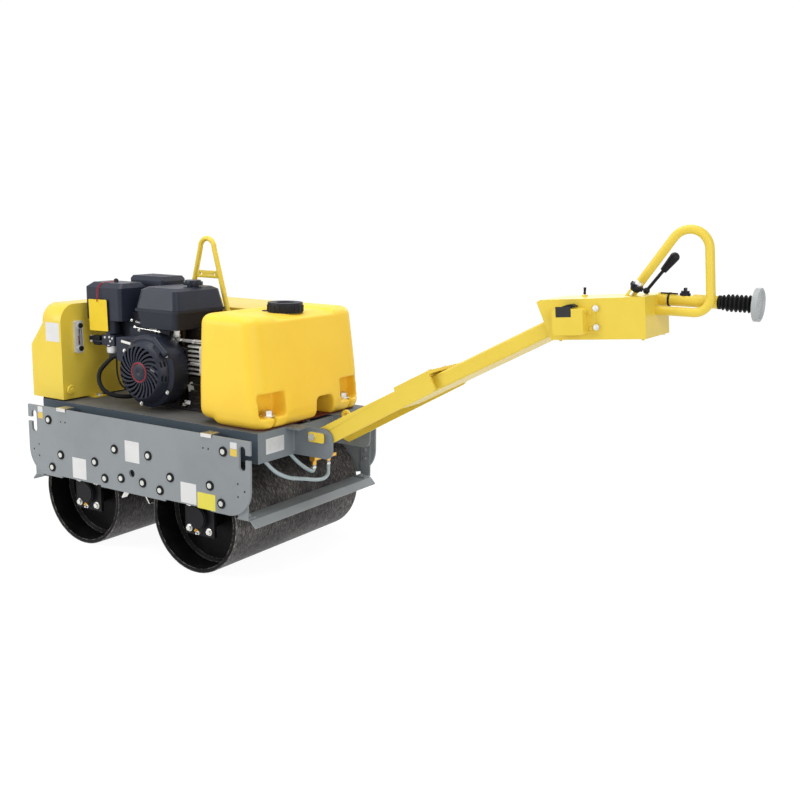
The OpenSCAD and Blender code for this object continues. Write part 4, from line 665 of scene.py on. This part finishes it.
def tube_mesh(name, points, radius, sides=16, ripple=0.0):
    """A tube with flat ends; its side vector is carried along, so that it never twists."""
    mesh = bmesh.new()
    side = None
    rings = []
    for k, point in enumerate(points):
        ahead = (points[min(k + 1, len(points) - 1)] - points[max(k - 1, 0)]).normalized()
        if side is None:
            side = Vector(ACROSS if abs(ahead.z) > 0.9 else UPRIGHT)
        side = (side - ahead * side.dot(ahead)).normalized()
        other = ahead.cross(side)
        slow, fast = ripple * math.sin(k * SLOW_RIPPLE), FAST_SHARE * ripple * math.sin(k * FAST_RIPPLE)
        size = radius * MM * (1 + slow + fast)
        rings.append([mesh.verts.new(point + (side * math.cos(a) + other * math.sin(a)) * size)
                      for a in (2 * math.pi * s / sides for s in range(sides))])
    for low, high in zip(rings, rings[1:]):
        for s in range(sides):
            mesh.faces.new((low[s - 1], low[s], high[s], high[s - 1]))
    mesh.faces.new(rings[0][::-1])
    mesh.faces.new(rings[-1])
    bmesh.ops.recalc_face_normals(mesh, faces=mesh.faces)
    return to_data(name, mesh)


print("path points after four rounds", len(rounded_path([at(0, 0, 0), at(1, 0, 0), at(1, 1, 0)])))

# %% Turned rings
PINHOLE = 0.01


def ring_mesh(name, centre, axis, profile, sides=40):
    """A closed outline of radius and height, turned round an axis."""
    axis = Vector(axis).normalized()
    side = Vector(UPRIGHT).cross(axis) if abs(axis.z) < 0.9 else Vector(ACROSS)
    side = (side - axis * side.dot(axis)).normalized()
    other = axis.cross(side)
    mesh = bmesh.new()
    rows = []
    for s in range(sides):
        turn = 2 * math.pi * s / sides
        spoke = side * math.cos(turn) + other * math.sin(turn)
        rows.append([mesh.verts.new(centre + (spoke * r + axis * h) * MM) for r, h in profile])
    for s in range(sides):
        for k in range(len(profile)):
            mesh.faces.new((rows[s - 1][k - 1], rows[s][k - 1], rows[s][k], rows[s - 1][k]))
    bmesh.ops.recalc_face_normals(mesh, faces=mesh.faces)
    return to_data(name, mesh)


def knob_mesh(name, centre, axis, outline, top, sides=40):
    """A turned solid: the outline starts at its foot, and top is the height at the axis."""
    profile = [(PINHOLE, outline[0][1]), *outline, (PINHOLE, top)]
    return ring_mesh(name, centre, axis, profile, sides)


print("turned rings have a pinhole of", PINHOLE, "mm")

# %% [markdown]
# ## Hoses
# Two water hoses hang from the deck to the valve, two oil hoses drop from the tank, and the
# engine has a breather hose and a fuel line. They could be curves, but a mesh tube keeps its
# ends flat and its length exact, so each route's corners are cut four times and a tube
# follows it.

# %% Hoses
ENGINE_X, ENGINE_Z = -40.0, 612.0
DECK_END, DECK_Z, BEAM_LOW = 494.0, 478.0, 382.0


def by_engine(x, y, z):
    return at(x + ENGINE_X, y, z + ENGINE_Z)


def at_front(x, y, z):
    return at(x - DECK_END, y, z + DECK_Z)


def at_rear(x, y, z):
    return at(x + DECK_END, y, z + BEAM_LOW)


HOSES = {
    "engine_hose": (by_engine, 7.5, "engine_lines", "black_rubber", [
        (-104, -133, -96), (-140, -188, -112), (-200, -238, -92), (-232, -232, -30), (-204, -198, 18),
        (-178, -190, 36), (-146.5, -190, 36)]),
    "fuel_line": (by_engine, 3.0, "engine_lines", "black_rubber", [
        (-189, -176, 39.5), (-187, -182, 10), (-172, -196, -30), (-150, -200, -70), (-120, -170, -96)]),
    "oil_hose_near": (at_front, 10.0, "hydraulic_hoses", "black_rubber", [
        (-26, -250, 6), (-26, -250, -23), (-26, -235, -38), (-18, -195, -53), (0, -195, -53)]),
    "oil_hose_far": (at_front, 10.0, "hydraulic_hoses", "black_rubber", [
        (-36, -190, 6), (-36, -190, -28), (-31, -165, -48), (-20, -130, -53), (0, -130, -53)]),
    "water_hose_long": (at_rear, 6.5, "water_hoses", "clear_hose", [
        (-24, -236, 6), (-6, -200, -42), (11, -150, -70), (18, -95, -82), (18, 10, -110), (18, 50, -102),
        (11, 60, -82), (11, 60, -52.6)]),
    "water_hose_short": (at_rear, 6.5, "water_hoses", "clear_hose", [
        (-24, -110, 6), (-6, -85, -32), (6, -45, -64), (11, -20, -76), (11, -18, -52.6)]),
}
for name, (place, radius, node, finish, corners) in HOSES.items():
    line = rounded_path([place(*corner) for corner in corners])
    hose = add_piece(name, tube_mesh(name, line, radius, sides=20), finish, smooth=True)
    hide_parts(node)
    print(name, round(path_length(line), 3), "m")

# %% [markdown]
# ## Hose clamps
# The water hoses and the engine's hose end in worm-drive clamps: a thin band with a small
# screw housing. A turned ring gives the band and a short rounded plate the housing.

# %% Hose clamps
CLAMPS = [(at_rear(11, 60, -62), UPRIGHT, 7.0), (at_rear(11, -18, -60), UPRIGHT, 7.0),
          (by_engine(-152, -190, 36), ACROSS, 8.0)]
for k, (centre, axis, radius) in enumerate(CLAMPS):
    band = ring_mesh("band", centre, axis, [
        (radius - 0.4, -4), (radius + 0.5, -4), (radius + 0.9, -3.4),
        (radius + 0.9, 3.4), (radius + 0.5, 4), (radius - 0.4, 4)])
    out = Vector(OUTWARD)
    seat = centre + out * (radius + 0.5) * MM
    house = plate_mesh("house", seat, Vector(axis).cross(out), axis, 11, 7, 5, 1.5)
    add_joined(f"hose_clamp_{k + 1}", [band, house], "zinc_steel")
print("clamps", len(CLAMPS))

# %% [markdown]
# ## Rotomoulded water tank
# A rotomoulded tank has no sharp edge anywhere: the hot powder rounds every corner and the
# long walls bulge a little as they cool. Bevels can't round a pocket's edges and its floor
# together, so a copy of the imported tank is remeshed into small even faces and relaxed. Then
# its ends are pushed out by a few millimetres, most of all a third of the way up.

# %% Water tank
TANK_CELL, TANK_RELAX, RELAX_SHARE = 4.5, 8, 0.5
TANK_BULGE, BULGE_FROM, BULGE_RISE = 7.0, 0.6, 0.7
tank_low, tank_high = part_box("water_tank")
blank = bpy.data.objects.new("tank_blank", nodes["water_tank"].data.copy())
bpy.context.scene.collection.objects.link(blank)
cells = blank.modifiers.new("cells", "REMESH")
cells.mode = "VOXEL"
cells.voxel_size = TANK_CELL * MM
relax = blank.modifiers.new("relax", "SMOOTH")
relax.factor = RELAX_SHARE
relax.iterations = TANK_RELAX
moulded = bpy.data.meshes.new_from_object(blank.evaluated_get(bpy.context.evaluated_depsgraph_get()))
bpy.data.objects.remove(blank)
half_width = (tank_high.y - tank_low.y) / 2
for vertex in moulded.vertices:
    rise = max(0.0, min(1.0, (vertex.co.z - tank_low.z) / (tank_high.z - tank_low.z)))
    near_end = max(0.0, (abs(vertex.co.y) / half_width - BULGE_FROM) / (1 - BULGE_FROM))
    push = TANK_BULGE * MM * math.sin(math.pi * rise ** BULGE_RISE) * near_end * near_end
    vertex.co.y += math.copysign(push, vertex.co.y)
tank = add_piece("moulded_tank", moulded, "yellow_plastic", smooth=True)
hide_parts("water_tank")
print("tank faces", len(moulded.polygons))

# %% [markdown]
# ## Bellows
# The stop rod is covered by a rubber bellows.

# %% Bellows
bellows_low, bellows_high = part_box("bellows")
bellows_centre = (bellows_low + bellows_high) / 2
BELLOWS_R = (bellows_high.z - bellows_low.z) / 2 / MM
BELLOWS_L = (bellows_high.x - bellows_low.x) / MM
FOLDS, FOLD_DEPTH, STEPS, CUFF, BORE = 7, 8.5, 10, 6.0, 10.0
wave = [(BORE, 0.0), (BELLOWS_R - 5, 0.0), (BELLOWS_R - 5, CUFF)]
for k in range(FOLDS * STEPS + 1):
    share = k / (FOLDS * STEPS)
    crest = 0.5 - 0.5 * math.cos(2 * math.pi * FOLDS * share)
    swell = 0.82 + 0.18 * min(1, 4 * share)
    wave.append((BELLOWS_R * swell - FOLD_DEPTH * (1 - crest ** 0.8),
                 CUFF + 1 + share * (BELLOWS_L - 2 * CUFF - 2)))
wave += [(BELLOWS_R - 4, BELLOWS_L - CUFF), (BELLOWS_R - 4, BELLOWS_L), (BORE, BELLOWS_L)]
bellows_foot = Vector((bellows_low.x, bellows_centre.y, bellows_centre.z))
bellows = add_piece("stop_bellows", ring_mesh("stop_bellows", bellows_foot, ACROSS, wave, 48),
                    "black_rubber", body="arm", smooth=True)
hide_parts("bellows")
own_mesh(bellows)
print("bellows", round(BELLOWS_L, 1), "mm with", FOLDS, "folds")

# %% [markdown]
# ## Blank labels and plates
# The real labels are printed vinyl on the side plates and the tank, and a stamped plate on
# the rear beam. They stay blank here: sheets 0.35 mm thick with corners of 1.5 mm.

# %% Labels on the side plates and the tanks
SIDE_FACE = -340.0
LABEL_SIZES = (0.35, 1.5)
SIDE_LABELS = {
    "label_front_post": ((-457, -432, 443, 463), "label_white"),
    "label_front_post_low": ((-457, -432, 421, 442), "label_amber"),
    "label_rear_post": ((430, 457, 435, 455), "label_white"),
    "label_rear_post_low": ((430, 457, 412, 434), "label_amber"),
    "label_side_front": ((-288, -220, 233, 305), "label_white"),
    "label_side_middle": ((-29, 37, 328, 399), "label_white"),
    "label_side_rear": ((219, 286, 231, 298), "label_white"),
    "label_side_lube": ((291, 366, 224, 276), "label_green"),
}
for name, ((x0, x1, z0, z1), finish) in SIDE_LABELS.items():
    middle = ((x0 + x1) / 2, SIDE_FACE, (z0 + z1) / 2)
    add_piece(name, near_plate(name, middle, x1 - x0, z1 - z0, *LABEL_SIZES), finish, "bolt_caps")
oil_label = near_plate("label_oil_tank", (-429, -285, 719), 70, 66, *LABEL_SIZES)
add_piece("label_oil_tank", oil_label, "label_white", "bolt_caps")
far_label = plate_mesh("label_far_side", at(4, 340, 363), (-1, 0, 0), UPRIGHT, 66, 71, *LABEL_SIZES)
add_piece("label_far_side", far_label, "label_white", "bolt_caps")
print("labels", len(SIDE_LABELS) + 2)

# %% Stamped plate on the rear beam
stamped = [plate_mesh("sheet", at(DECK_END, -203, 430), INWARD, UPRIGHT, 88, 49, 0.8, 3)]
for y in (-241, -165):
    for z in (411, 449):
        stamped.append(knob_mesh("rivet", at(DECK_END + 0.8, y, z), ACROSS,
                                 [(2.2, 0), (2.0, 0.9), (1.2, 1.4)], 1.5, 16))
add_joined("stamped_plate", stamped, "plain_aluminium", "cast_alloy")
print("stamped plate with 4 rivets")

# %% [markdown]
# ## Rings under the side bolts
# Every bolt of the side plates sits in a dark rubber ring under a pale cap. The bolts' places
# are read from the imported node, one island of faces each, so the rings can't miss them.

# %% Rings under the side bolts


def islands(name):
    """The lowest and highest corner of each separate solid of a node, in a fixed order."""
    mesh = bmesh.new()
    mesh.from_mesh(nodes[name].data)
    bmesh.ops.remove_doubles(mesh, verts=mesh.verts, dist=1e-6)
    left, found = set(mesh.verts), []
    while left:
        group, queue = [], [left.pop()]
        while queue:
            vert = queue.pop()
            group.append(vert.co.copy())
            for edge in vert.link_edges:
                other = edge.other_vert(vert)
                if other in left:
                    left.remove(other)
                    queue.append(other)
        found.append((Vector([min(c[k] for c in group) for k in range(3)]),
                      Vector([max(c[k] for c in group) for k in range(3)])))
    mesh.free()
    return sorted(found, key=lambda box: tuple(box[0]))


rings = []
for low, high in islands("side_bolts"):
    middle = (low + high) / 2
    side = -1 if middle.y < 0 else 1
    radius = (high.x - low.x) / 2 / MM
    seat = Vector((middle.x, side * abs(SIDE_FACE) * MM, middle.z))
    rings.append(ring_mesh("ring", seat, (0, side, 0), [
        (radius + 0.1, 0.05), (radius + 4.0, 0.05), (radius + 3.9, 2.4), (radius + 2.4, 4.0),
        (radius - 3.2, 4.0), (radius - 3.85, 3.7), (radius - 3.85, 3.05), (radius + 0.1, 3.05)], 28))
print("bolts", len(rings), "cap radius", round(radius, 1))
add_joined("bolt_rings", rings, "black_rubber")

# %% [markdown]
# ## Weld beads
# The frame is welded from plate, and the seams show as low, rippled beads under the paint.
# A thin tube whose radius wavers along its length reads as a bead at this scale.

# %% Weld beads
ARM = math.radians(28)
PIVOT_X, PIVOT_Z = 576.0, 450.0


def on_arm(u, y, w):
    return at(PIVOT_X + u * math.cos(ARM) - w * math.sin(ARM), y,
              PIVOT_Z + u * math.sin(ARM) + w * math.cos(ARM))


def straight(first, second, step=2.2):
    count = max(3, int((second - first).length / (step * MM)))
    return [first.lerp(second, k / count) for k in range(count + 1)]


def bead(first, second, radius=2.2):
    return tube_mesh("bead", straight(first, second), radius, sides=8, ripple=0.22)


grey_beads, yellow_beads, arm_beads = [], [], []
for side in (-1, 1):
    for y in (109, 99):
        grey_beads.append(bead(at(DECK_END, side * y, 392), at(DECK_END, side * y, 470)))
    arm_beads.append(bead(on_arm(342, side * 97, 27), on_arm(488, side * 97, 27), 1.8))
    arm_beads.append(bead(on_arm(46, side * 90.5, 17), on_arm(338, side * 90.5, 17), 1.5))
for foot in (-209, 147):
    for y in (50, 94):
        yellow_beads.append(bead(at(foot - 20, y, 478.6), at(foot + 20, y, 478.6), 2.0))
for x in (-542, -386):
    yellow_beads.append(bead(at(x, -150, 484), at(x, 150, 484), 1.6))
for u in (54, 80):
    arm_beads.append(bead(on_arm(u, -4, 17.5), on_arm(u, 4, 17.5)))
add_joined("beam_welds", grey_beads, "grey_paint", smooth=True)
add_joined("hoist_and_tank_welds", yellow_beads, "yellow_paint", smooth=True)
add_joined("arm_welds", arm_beads, "yellow_paint", body="arm", smooth=True)
print("beads", len(grey_beads) + len(yellow_beads) + len(arm_beads))

# %% [markdown]
# ## Console details
# The switch box carries a dark blank label, and a band holds the key switch's wires to the
# tube of the stop plate.

# %% Console details
TILT = math.radians(5.2)
CONSOLE_X = PIVOT_X + 905 * math.cos(ARM) + 247
CONSOLE_Z = PIVOT_Z + 905 * math.sin(ARM) + 77
ALONG = Vector((math.cos(TILT), 0, math.sin(TILT)))
UPWARD = Vector((-math.sin(TILT), 0, math.cos(TILT)))
TUBE_Y, TUBE_Z, TUBE_R = 18.0, CONSOLE_Z - 12, 17.0


def on_console(u, y, w):
    return at(CONSOLE_X, y, CONSOLE_Z) + (ALONG * u + UPWARD * w) * MM


switch_label = plate_mesh("label_switch_box", on_console(-215, -120, -32), ALONG, UPWARD, 44, 28,
                          *LABEL_SIZES)
add_piece("label_switch_box", switch_label, "label_black", "black_plastic", body="arm")
clip = ring_mesh("tube_clip", at(1652, TUBE_Y, TUBE_Z), ACROSS, [
    (TUBE_R + out, along) for out, along in (
        (0.1, -2.6), (1.3, -2.6), (1.5, -2.2), (1.5, 2.2), (1.3, 2.6), (0.1, 2.6))], 36)
add_piece("tube_clip", clip, "black_plastic", body="arm", smooth=True)
wire_line = rounded_path([at(x, y, TUBE_Z + rise) for x, y, rise in (
    (1676, 9, 16.4), (1664, 7, 16.8), (1652, 9, 16.4), (1640, 8, 16.6), (1630, 9, 16.4))], 3)
wires = tube_mesh("key_wires", wire_line, 1.7, 10)
add_piece("key_wires", wires, "black_rubber", body="arm", smooth=True)
print("console details", 3)

# %% [markdown]
# ## Engine details
# A plain domed badge in a red rim sits in the starter's grille, and four flange screws hold
# the cover.

# %% Badge and cover screws
BADGE = by_engine(0, -257, 0)
dome = knob_mesh("badge_dome", BADGE, OUTWARD, [(29, 0), (29, 1.2), (27, 2.2), (14, 3.1)], 3.4, 48)
add_piece("badge_dome", dome, "engine_shell", smooth=True)
rim = ring_mesh("badge_rim", BADGE, OUTWARD, [
    (29.3, 0), (34, 0), (34, 1.4), (33, 2.4), (30.3, 2.4), (29.3, 1.4)], 48)
add_piece("badge_rim", rim, "red_ring", "bolt_caps", smooth=True)
COVER_R, COVER_FACE = 115, -226
screws = []
for turn in map(math.radians, (58, 122, 192, 302)):
    centre = by_engine(COVER_R * math.sin(turn), COVER_FACE, COVER_R * math.cos(turn))
    screws.append(knob_mesh("flange", centre, OUTWARD, [(7, 0), (6.6, 1.6)], 1.8, 24))
    screws.append(knob_mesh("head", centre, OUTWARD, [(4.6, 1.6), (4.4, 5.4)], 6.0, 6))
add_joined("cover_screws", screws, "zinc_steel")
print("badge and", len(screws) // 2, "screws")

# %% [markdown]
# ## The engine's open side
# Between the blower housing and the water tank the photograph shows the engine's flank:
# bright cooling fins over a dark crankcase with cast ribs, a blank tag and a foot bolt.

# %% Fins and crankcase flank
# Painted shade: the core behind the fins, the shroud and the crankcase wear cast alloy darkened to near
# black, so the gaps between the fins look shaded.
core = near_plate("flank_core", (100, -60, 652), 60, 108, 62, 6, 1.5)
add_piece("flank_core", core, "engine_casting", "cast_alloy")
FIN_WIDTHS, FIN_PITCH = (78, 84, 88, 88, 84, 76, 62), 15
flank = []
for k, width in enumerate(FIN_WIDTHS):
    middle = at(66 + width / 2, -92, 604 + FIN_PITCH * k)
    flank.append(plate_mesh("fin", middle, ACROSS, INWARD, width, 104, 6, 12, 1.5))
flank += [near_plate("head_post", (136, -138, 655), 16, 96, 12, 5, 3),
          near_plate("head_bridge", (112, -138, 640), 56, 12, 10, 4, 2),
          near_plate("top_lug", (112, -128, 714), 52, 12, 14, 5, 2)]
shroud = [near_plate("governor_box", (30, -66, 725), 114, 52, 26, 6, 2),
          near_plate("breather_box", (-226, -106, 742), 58, 78, 40, 8, 2)]
add_joined("engine_shroud", shroud, "engine_casting", "cast_alloy")
add_joined("cooling_fins", flank, "cast_alloy")
base = [near_plate("crankcase", (106, -40, 537), 84, 116, 96, 8, 2),
        plate_mesh("foot", at(104, -80, 478.4), ACROSS, INWARD, 104, 128, 9, 8, 1.5)]
for k in range(4):
    base.append(near_plate("rib", (112, -134, 505 + 21 * k), 64, 6, 9, 2, 1.5))
add_joined("crankcase_flank", base, "engine_casting", "cast_alloy")
tag = plate_mesh("label_engine", at(76, -136.1, 560), (1, 0, 0.25), (-0.25, 0, 1), 26, 30, 0.4, 2)
add_piece("label_engine", tag, "label_white", "bolt_caps")
foot_bolt = [knob_mesh("washer", at(66, -122, 487.4), UPRIGHT, [(11, 0), (11, 1.8)], 2, 24),
             knob_mesh("head", at(66, -122, 489), UPRIGHT, [(8, 0), (7.6, 6.4)], 7, 6),
             near_plate("clip", (62, -136, 505), 26, 14, 3, 3)]
add_joined("engine_foot_bolt", foot_bolt, "zinc_steel")
print("flank with", len(FIN_WIDTHS), "fins")

# %% [markdown]
# ## Throttle and carburettor
# Left of the blower there are a throttle plate with a rod, springs and small nuts, and the
# carburettor's bright bowl with a brass drain. A spring is a tube along a helix.

# %% Throttle plate, rods and springs


def spring(first, second, radius, turns, wire=0.8, steps=12):
    along = (second - first).normalized()
    side = along.orthogonal().normalized()
    other = along.cross(side)
    points = []
    for k in range(turns * steps + 1):
        turn = 2 * math.pi * k / steps
        points.append(first.lerp(second, k / (turns * steps))
                      + (side * math.cos(turn) + other * math.sin(turn)) * radius * MM)
    return tube_mesh("spring", points, wire, 8)


shield = [near_plate("shield", (-119, -148, 752), 200, 84, 3, 8, 1),
          near_plate("lever_plate", (-104, -168, 757), 84, 26, 4, 10, 1),
          near_plate("bridge", (-104, -150, 757), 30, 18, 20, 4, 1),
          near_plate("manifold", (-206, -96, 742), 70, 92, 52, 12, 3),
          ring_mesh("pulley", at(-92, -172, 757), OUTWARD, [(3, 0), (13, 0), (11, 3), (13, 6), (3, 6)], 32)]
add_joined("throttle_plate", shield, "black_plastic")
rod = [at(-130, -186, 750), at(-90, -187, 747), at(-40, -187, 745), at(-8, -186, 742)]
bright = [tube_mesh("rod", rod, 1.6, 8),
          spring(at(-128, -180, 768), at(-84, -180, 764), 3.4, 9),
          spring(at(-62, -182, 752), at(-22, -184, 746), 3.0, 9)]
for x, z in ((-146, 772), (-132, 750), (-112, 740), (-92, 757), (-36, 744), (-20, 742)):
    bright.append(knob_mesh("nut", at(x, -178, z), OUTWARD, [(5.2, 0), (5, 4.4)], 5, 6))
    bright.append(knob_mesh("stud", at(x, -178, z), OUTWARD, [(2.4, 4), (2.2, 9)], 9.4, 12))
bright.append(plate_mesh("tab", at(-128, -227, 702), (1, 0, -0.12), (0.12, 0, 1), 46, 9, 3, 3, 0.8))
add_joined("throttle_rods", bright, "zinc_steel")
print("throttle plate, 2 springs")

# %% Carburettor's bright parts
BOWL = [(16, -1.6), (20.6, 2), (21.4, 5), (21.4, 24), (22.6, 25), (22.6, 28), (20.3, 28.4), (20.3, 0.4)]
bowl = [knob_mesh("bowl", at(-248, -176, 652), UPRIGHT, BOWL, 0.4),
        knob_mesh("choke_nut", at(-352, -176, 700), (-1, 0, 0), [(6, 0), (5.6, 7)], 8, 6),
        knob_mesh("choke_stop", at(-340, -188, 686), OUTWARD, [(4.5, 0), (4.3, 5)], 5.6, 6)]
for x, z in ((-262, 706), (-240, 708), (-236, 694), (-226, 704)):
    bowl.append(knob_mesh("screw", at(x, -198, z), OUTWARD, [(4.2, 0), (3.6, 3.2)], 3.6, 16))
add_joined("carburettor_bowl", bowl, "plain_aluminium", "cast_alloy")
drain = knob_mesh("bowl_drain", at(-248, -176, 651), (0, 0, -1),
                  [(5.5, 0), (5.5, 5), (3, 6), (3, 11)], 11.4, 6)
add_piece("bowl_drain", drain, "brass_orange")
choke = [near_plate("choke_lever", (-338, -176, 694), 40, 16, 10, 5, 1.5),
         near_plate("choke_body", (-320, -170, 690), 34, 34, 18, 6, 2)]
add_joined("choke", choke, "black_plastic")
print("carburettor details")

# %% [markdown]
# ## Hanging card
# A blank card hangs from the air cleaner's wing nut on two strands of red string. The sheet
# is built flat, then bent: its middle lies behind its two sides.

# %% Hanging card
CARD_X, CARD_HALF, CARD_BEND, CARD_SAG, CARD_TOP = -281, 45, 0.004, 0.003, 0.83
card = plate_mesh("hanging_card", at(CARD_X, -209, 782), (1, 0, 0.02), (-0.02, 0, 1), 90, 108, 0.5, 3)
for vertex in card.vertices:
    across = (vertex.co.x - at(CARD_X, 0, 0).x) / (CARD_HALF * MM)
    share = 1 if vertex.co.z < CARD_TOP else 0.5
    vertex.co.y += (CARD_BEND * across * across - CARD_SAG) * share
add_piece("hanging_card", card, "card_yellow", "yellow_plastic")
for k, side in enumerate((-3, 3)):
    string = rounded_path([at(x + share * side, y, z) for x, share, y, z in (
        (-281, 1 / 3, -212.6, 828), (-281, 1, -210, 850), (-283, 1, -205, 872), (-284, 1, -197, 884),
        (-278, 0, -184, 893.8), (-270, 1, -150, 894.2), (-266, 1, -141, 894.6))], 3)
    name = f"card_string_{k + 1}"
    add_piece(name, tube_mesh(name, string, 0.8, 8), "red_string", "black_plastic", smooth=True)
print("card and string")

# %% [markdown]
# ## Oil gauge
# The sight gauge is a clear tube in a groove of its aluminium rail, with a white strip and a
# red thermometer line behind it and a black screw at each end. The drain's boss is below.

# %% Oil gauge
GAUGE_Y = -215
scale = plate_mesh("gauge_scale", at(-378.6, GAUGE_Y, 700), INWARD, UPRIGHT, 8.5, 52, 0.6, 1)
add_piece("gauge_scale", scale, "label_white", "bolt_caps")
thermometer = tube_mesh("gauge_line", [at(-377, GAUGE_Y, 678), at(-377, GAUGE_Y, 704)], 0.9, 8)
add_piece("gauge_line", thermometer, "red_string", "bolt_caps", smooth=True)
sight = tube_mesh("gauge_glass", [at(-376.2, GAUGE_Y, z) for z in (674, 690, 710, 726)], 3.6, 20)
add_piece("gauge_glass", sight, "sight_glass", "clear_hose", smooth=True)
gauge_ends = []
for z in (660, 740):
    gauge_ends.append(knob_mesh("screw", at(-367.2, GAUGE_Y, z), ACROSS, [
        (9.2, 0), (9.2, 4.2), (8.2, 5.2), (4.6, 5.2), (4.6, 3.6)], 3.6, 28))
for y in (-209.6, -220.4):
    gauge_ends.append(tube_mesh("seal", [at(-367, y, 672), at(-367, y, 728)], 0.9, 8))
add_joined("gauge_screws", gauge_ends, "black_plastic")
drain_boss = knob_mesh("drain_boss", at(-379, -257, 518), ACROSS, [
    (17.5, 0), (17.5, 5), (15.5, 7), (12.5, 7), (11.5, 5.4), (8, 5.4), (7.4, 11)], 11.6)
add_piece("drain_boss", drain_boss, "yellow_paint")
print("gauge with", len(gauge_ends), "screws and seals")

# %% [markdown]
# ## Pivot lock plates and console screws
# The arm's pin is held by a yellow lock plate with one bolt on each side, and the switch
# box's flange by two zinc screws. The throttle's screw stem and nut are bare zinc.

# %% Lock plates, console screws and throttle nut
locks = []
for side in (-1, 1):
    locks.append(plate_mesh("lock", at(591, side * 119.4, 450), (-side, 0, 0), UPRIGHT, 62, 32, 1.2, 7, 0.5))
add_joined("lock_plates", locks, "yellow_paint")
box_screws = []
for w in (-26, -76):
    box_screws.append(knob_mesh("washer", on_console(-133, -95, w), OUTWARD, [(8.5, 0), (8.5, 1.4)], 1.6, 24))
    box_screws.append(knob_mesh("head", on_console(-133, -96, w), OUTWARD, [(6.4, 0), (6, 4.4)], 5, 6))
add_joined("switch_box_screws", box_screws, "zinc_steel", body="arm")
THROTTLE_AXIS = Vector((0.51204, 0, 0.85896))
TIP_BACK, TIP_DOWN, NUT_BELOW, STEM_BELOW = 11.7, 4.6, 9.2, 42
throttle_low, throttle_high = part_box("throttle_knob")
throttle_top = Vector((throttle_high.x - TIP_BACK * MM, (throttle_low.y + throttle_high.y) / 2,
                       throttle_high.z - TIP_DOWN * MM))
nut = ring_mesh("nut", throttle_top - THROTTLE_AXIS * NUT_BELOW * MM, THROTTLE_AXIS, [
    (9.1, 0.3), (10, 0.3), (9.8, 8.4), (8.6, 9.6), (PINHOLE, 9.9), (PINHOLE, 9.3), (9.1, 9.3)], 36)
stem = ring_mesh("stem", throttle_top - THROTTLE_AXIS * STEM_BELOW * MM, THROTTLE_AXIS, [
    (5.1, 0.4), (5.7, 0.4), (5.7, 13.2), (5.1, 13.2)], 28)
add_joined("throttle_nut", [nut, stem], "zinc_steel", body="throttle_knob")
print("lock plates, 2 screws, throttle nut")

# %% [markdown]
# ## Rubber mat and grease plugs
# The water tank stands on a dark red rubber mat whose edge shows as a thin line. A small
# brass plug sits between the lower bolts of each hub.

# %% Mat and grease plugs
mat = plate_mesh("tank_mat", at(387, 0, 478.05), ACROSS, INWARD, 190, 508, 2.6, 30)
add_piece("tank_mat", mat, "red_rubber", "black_rubber")
AXLES, AXLE_Z = (-260, 260), 178
plugs = []
for axle in AXLES:
    for side in (-1, 1):
        centre = at(axle - 12, side * 300, AXLE_Z - 46)
        plugs.append(knob_mesh("hexagon", centre, (0, side, 0), [(7, 0), (6.6, 4)], 4.4, 6))
        plugs.append(knob_mesh("nipple", centre, (0, side, 0),
                               [(3, 4), (2.4, 7), (3.2, 9), (2, 11)], 11.2, 16))
add_joined("grease_plugs", plugs, "brass_orange")
print("mat and", len(plugs) // 2, "plugs;", len(PIECES), "added pieces in all")
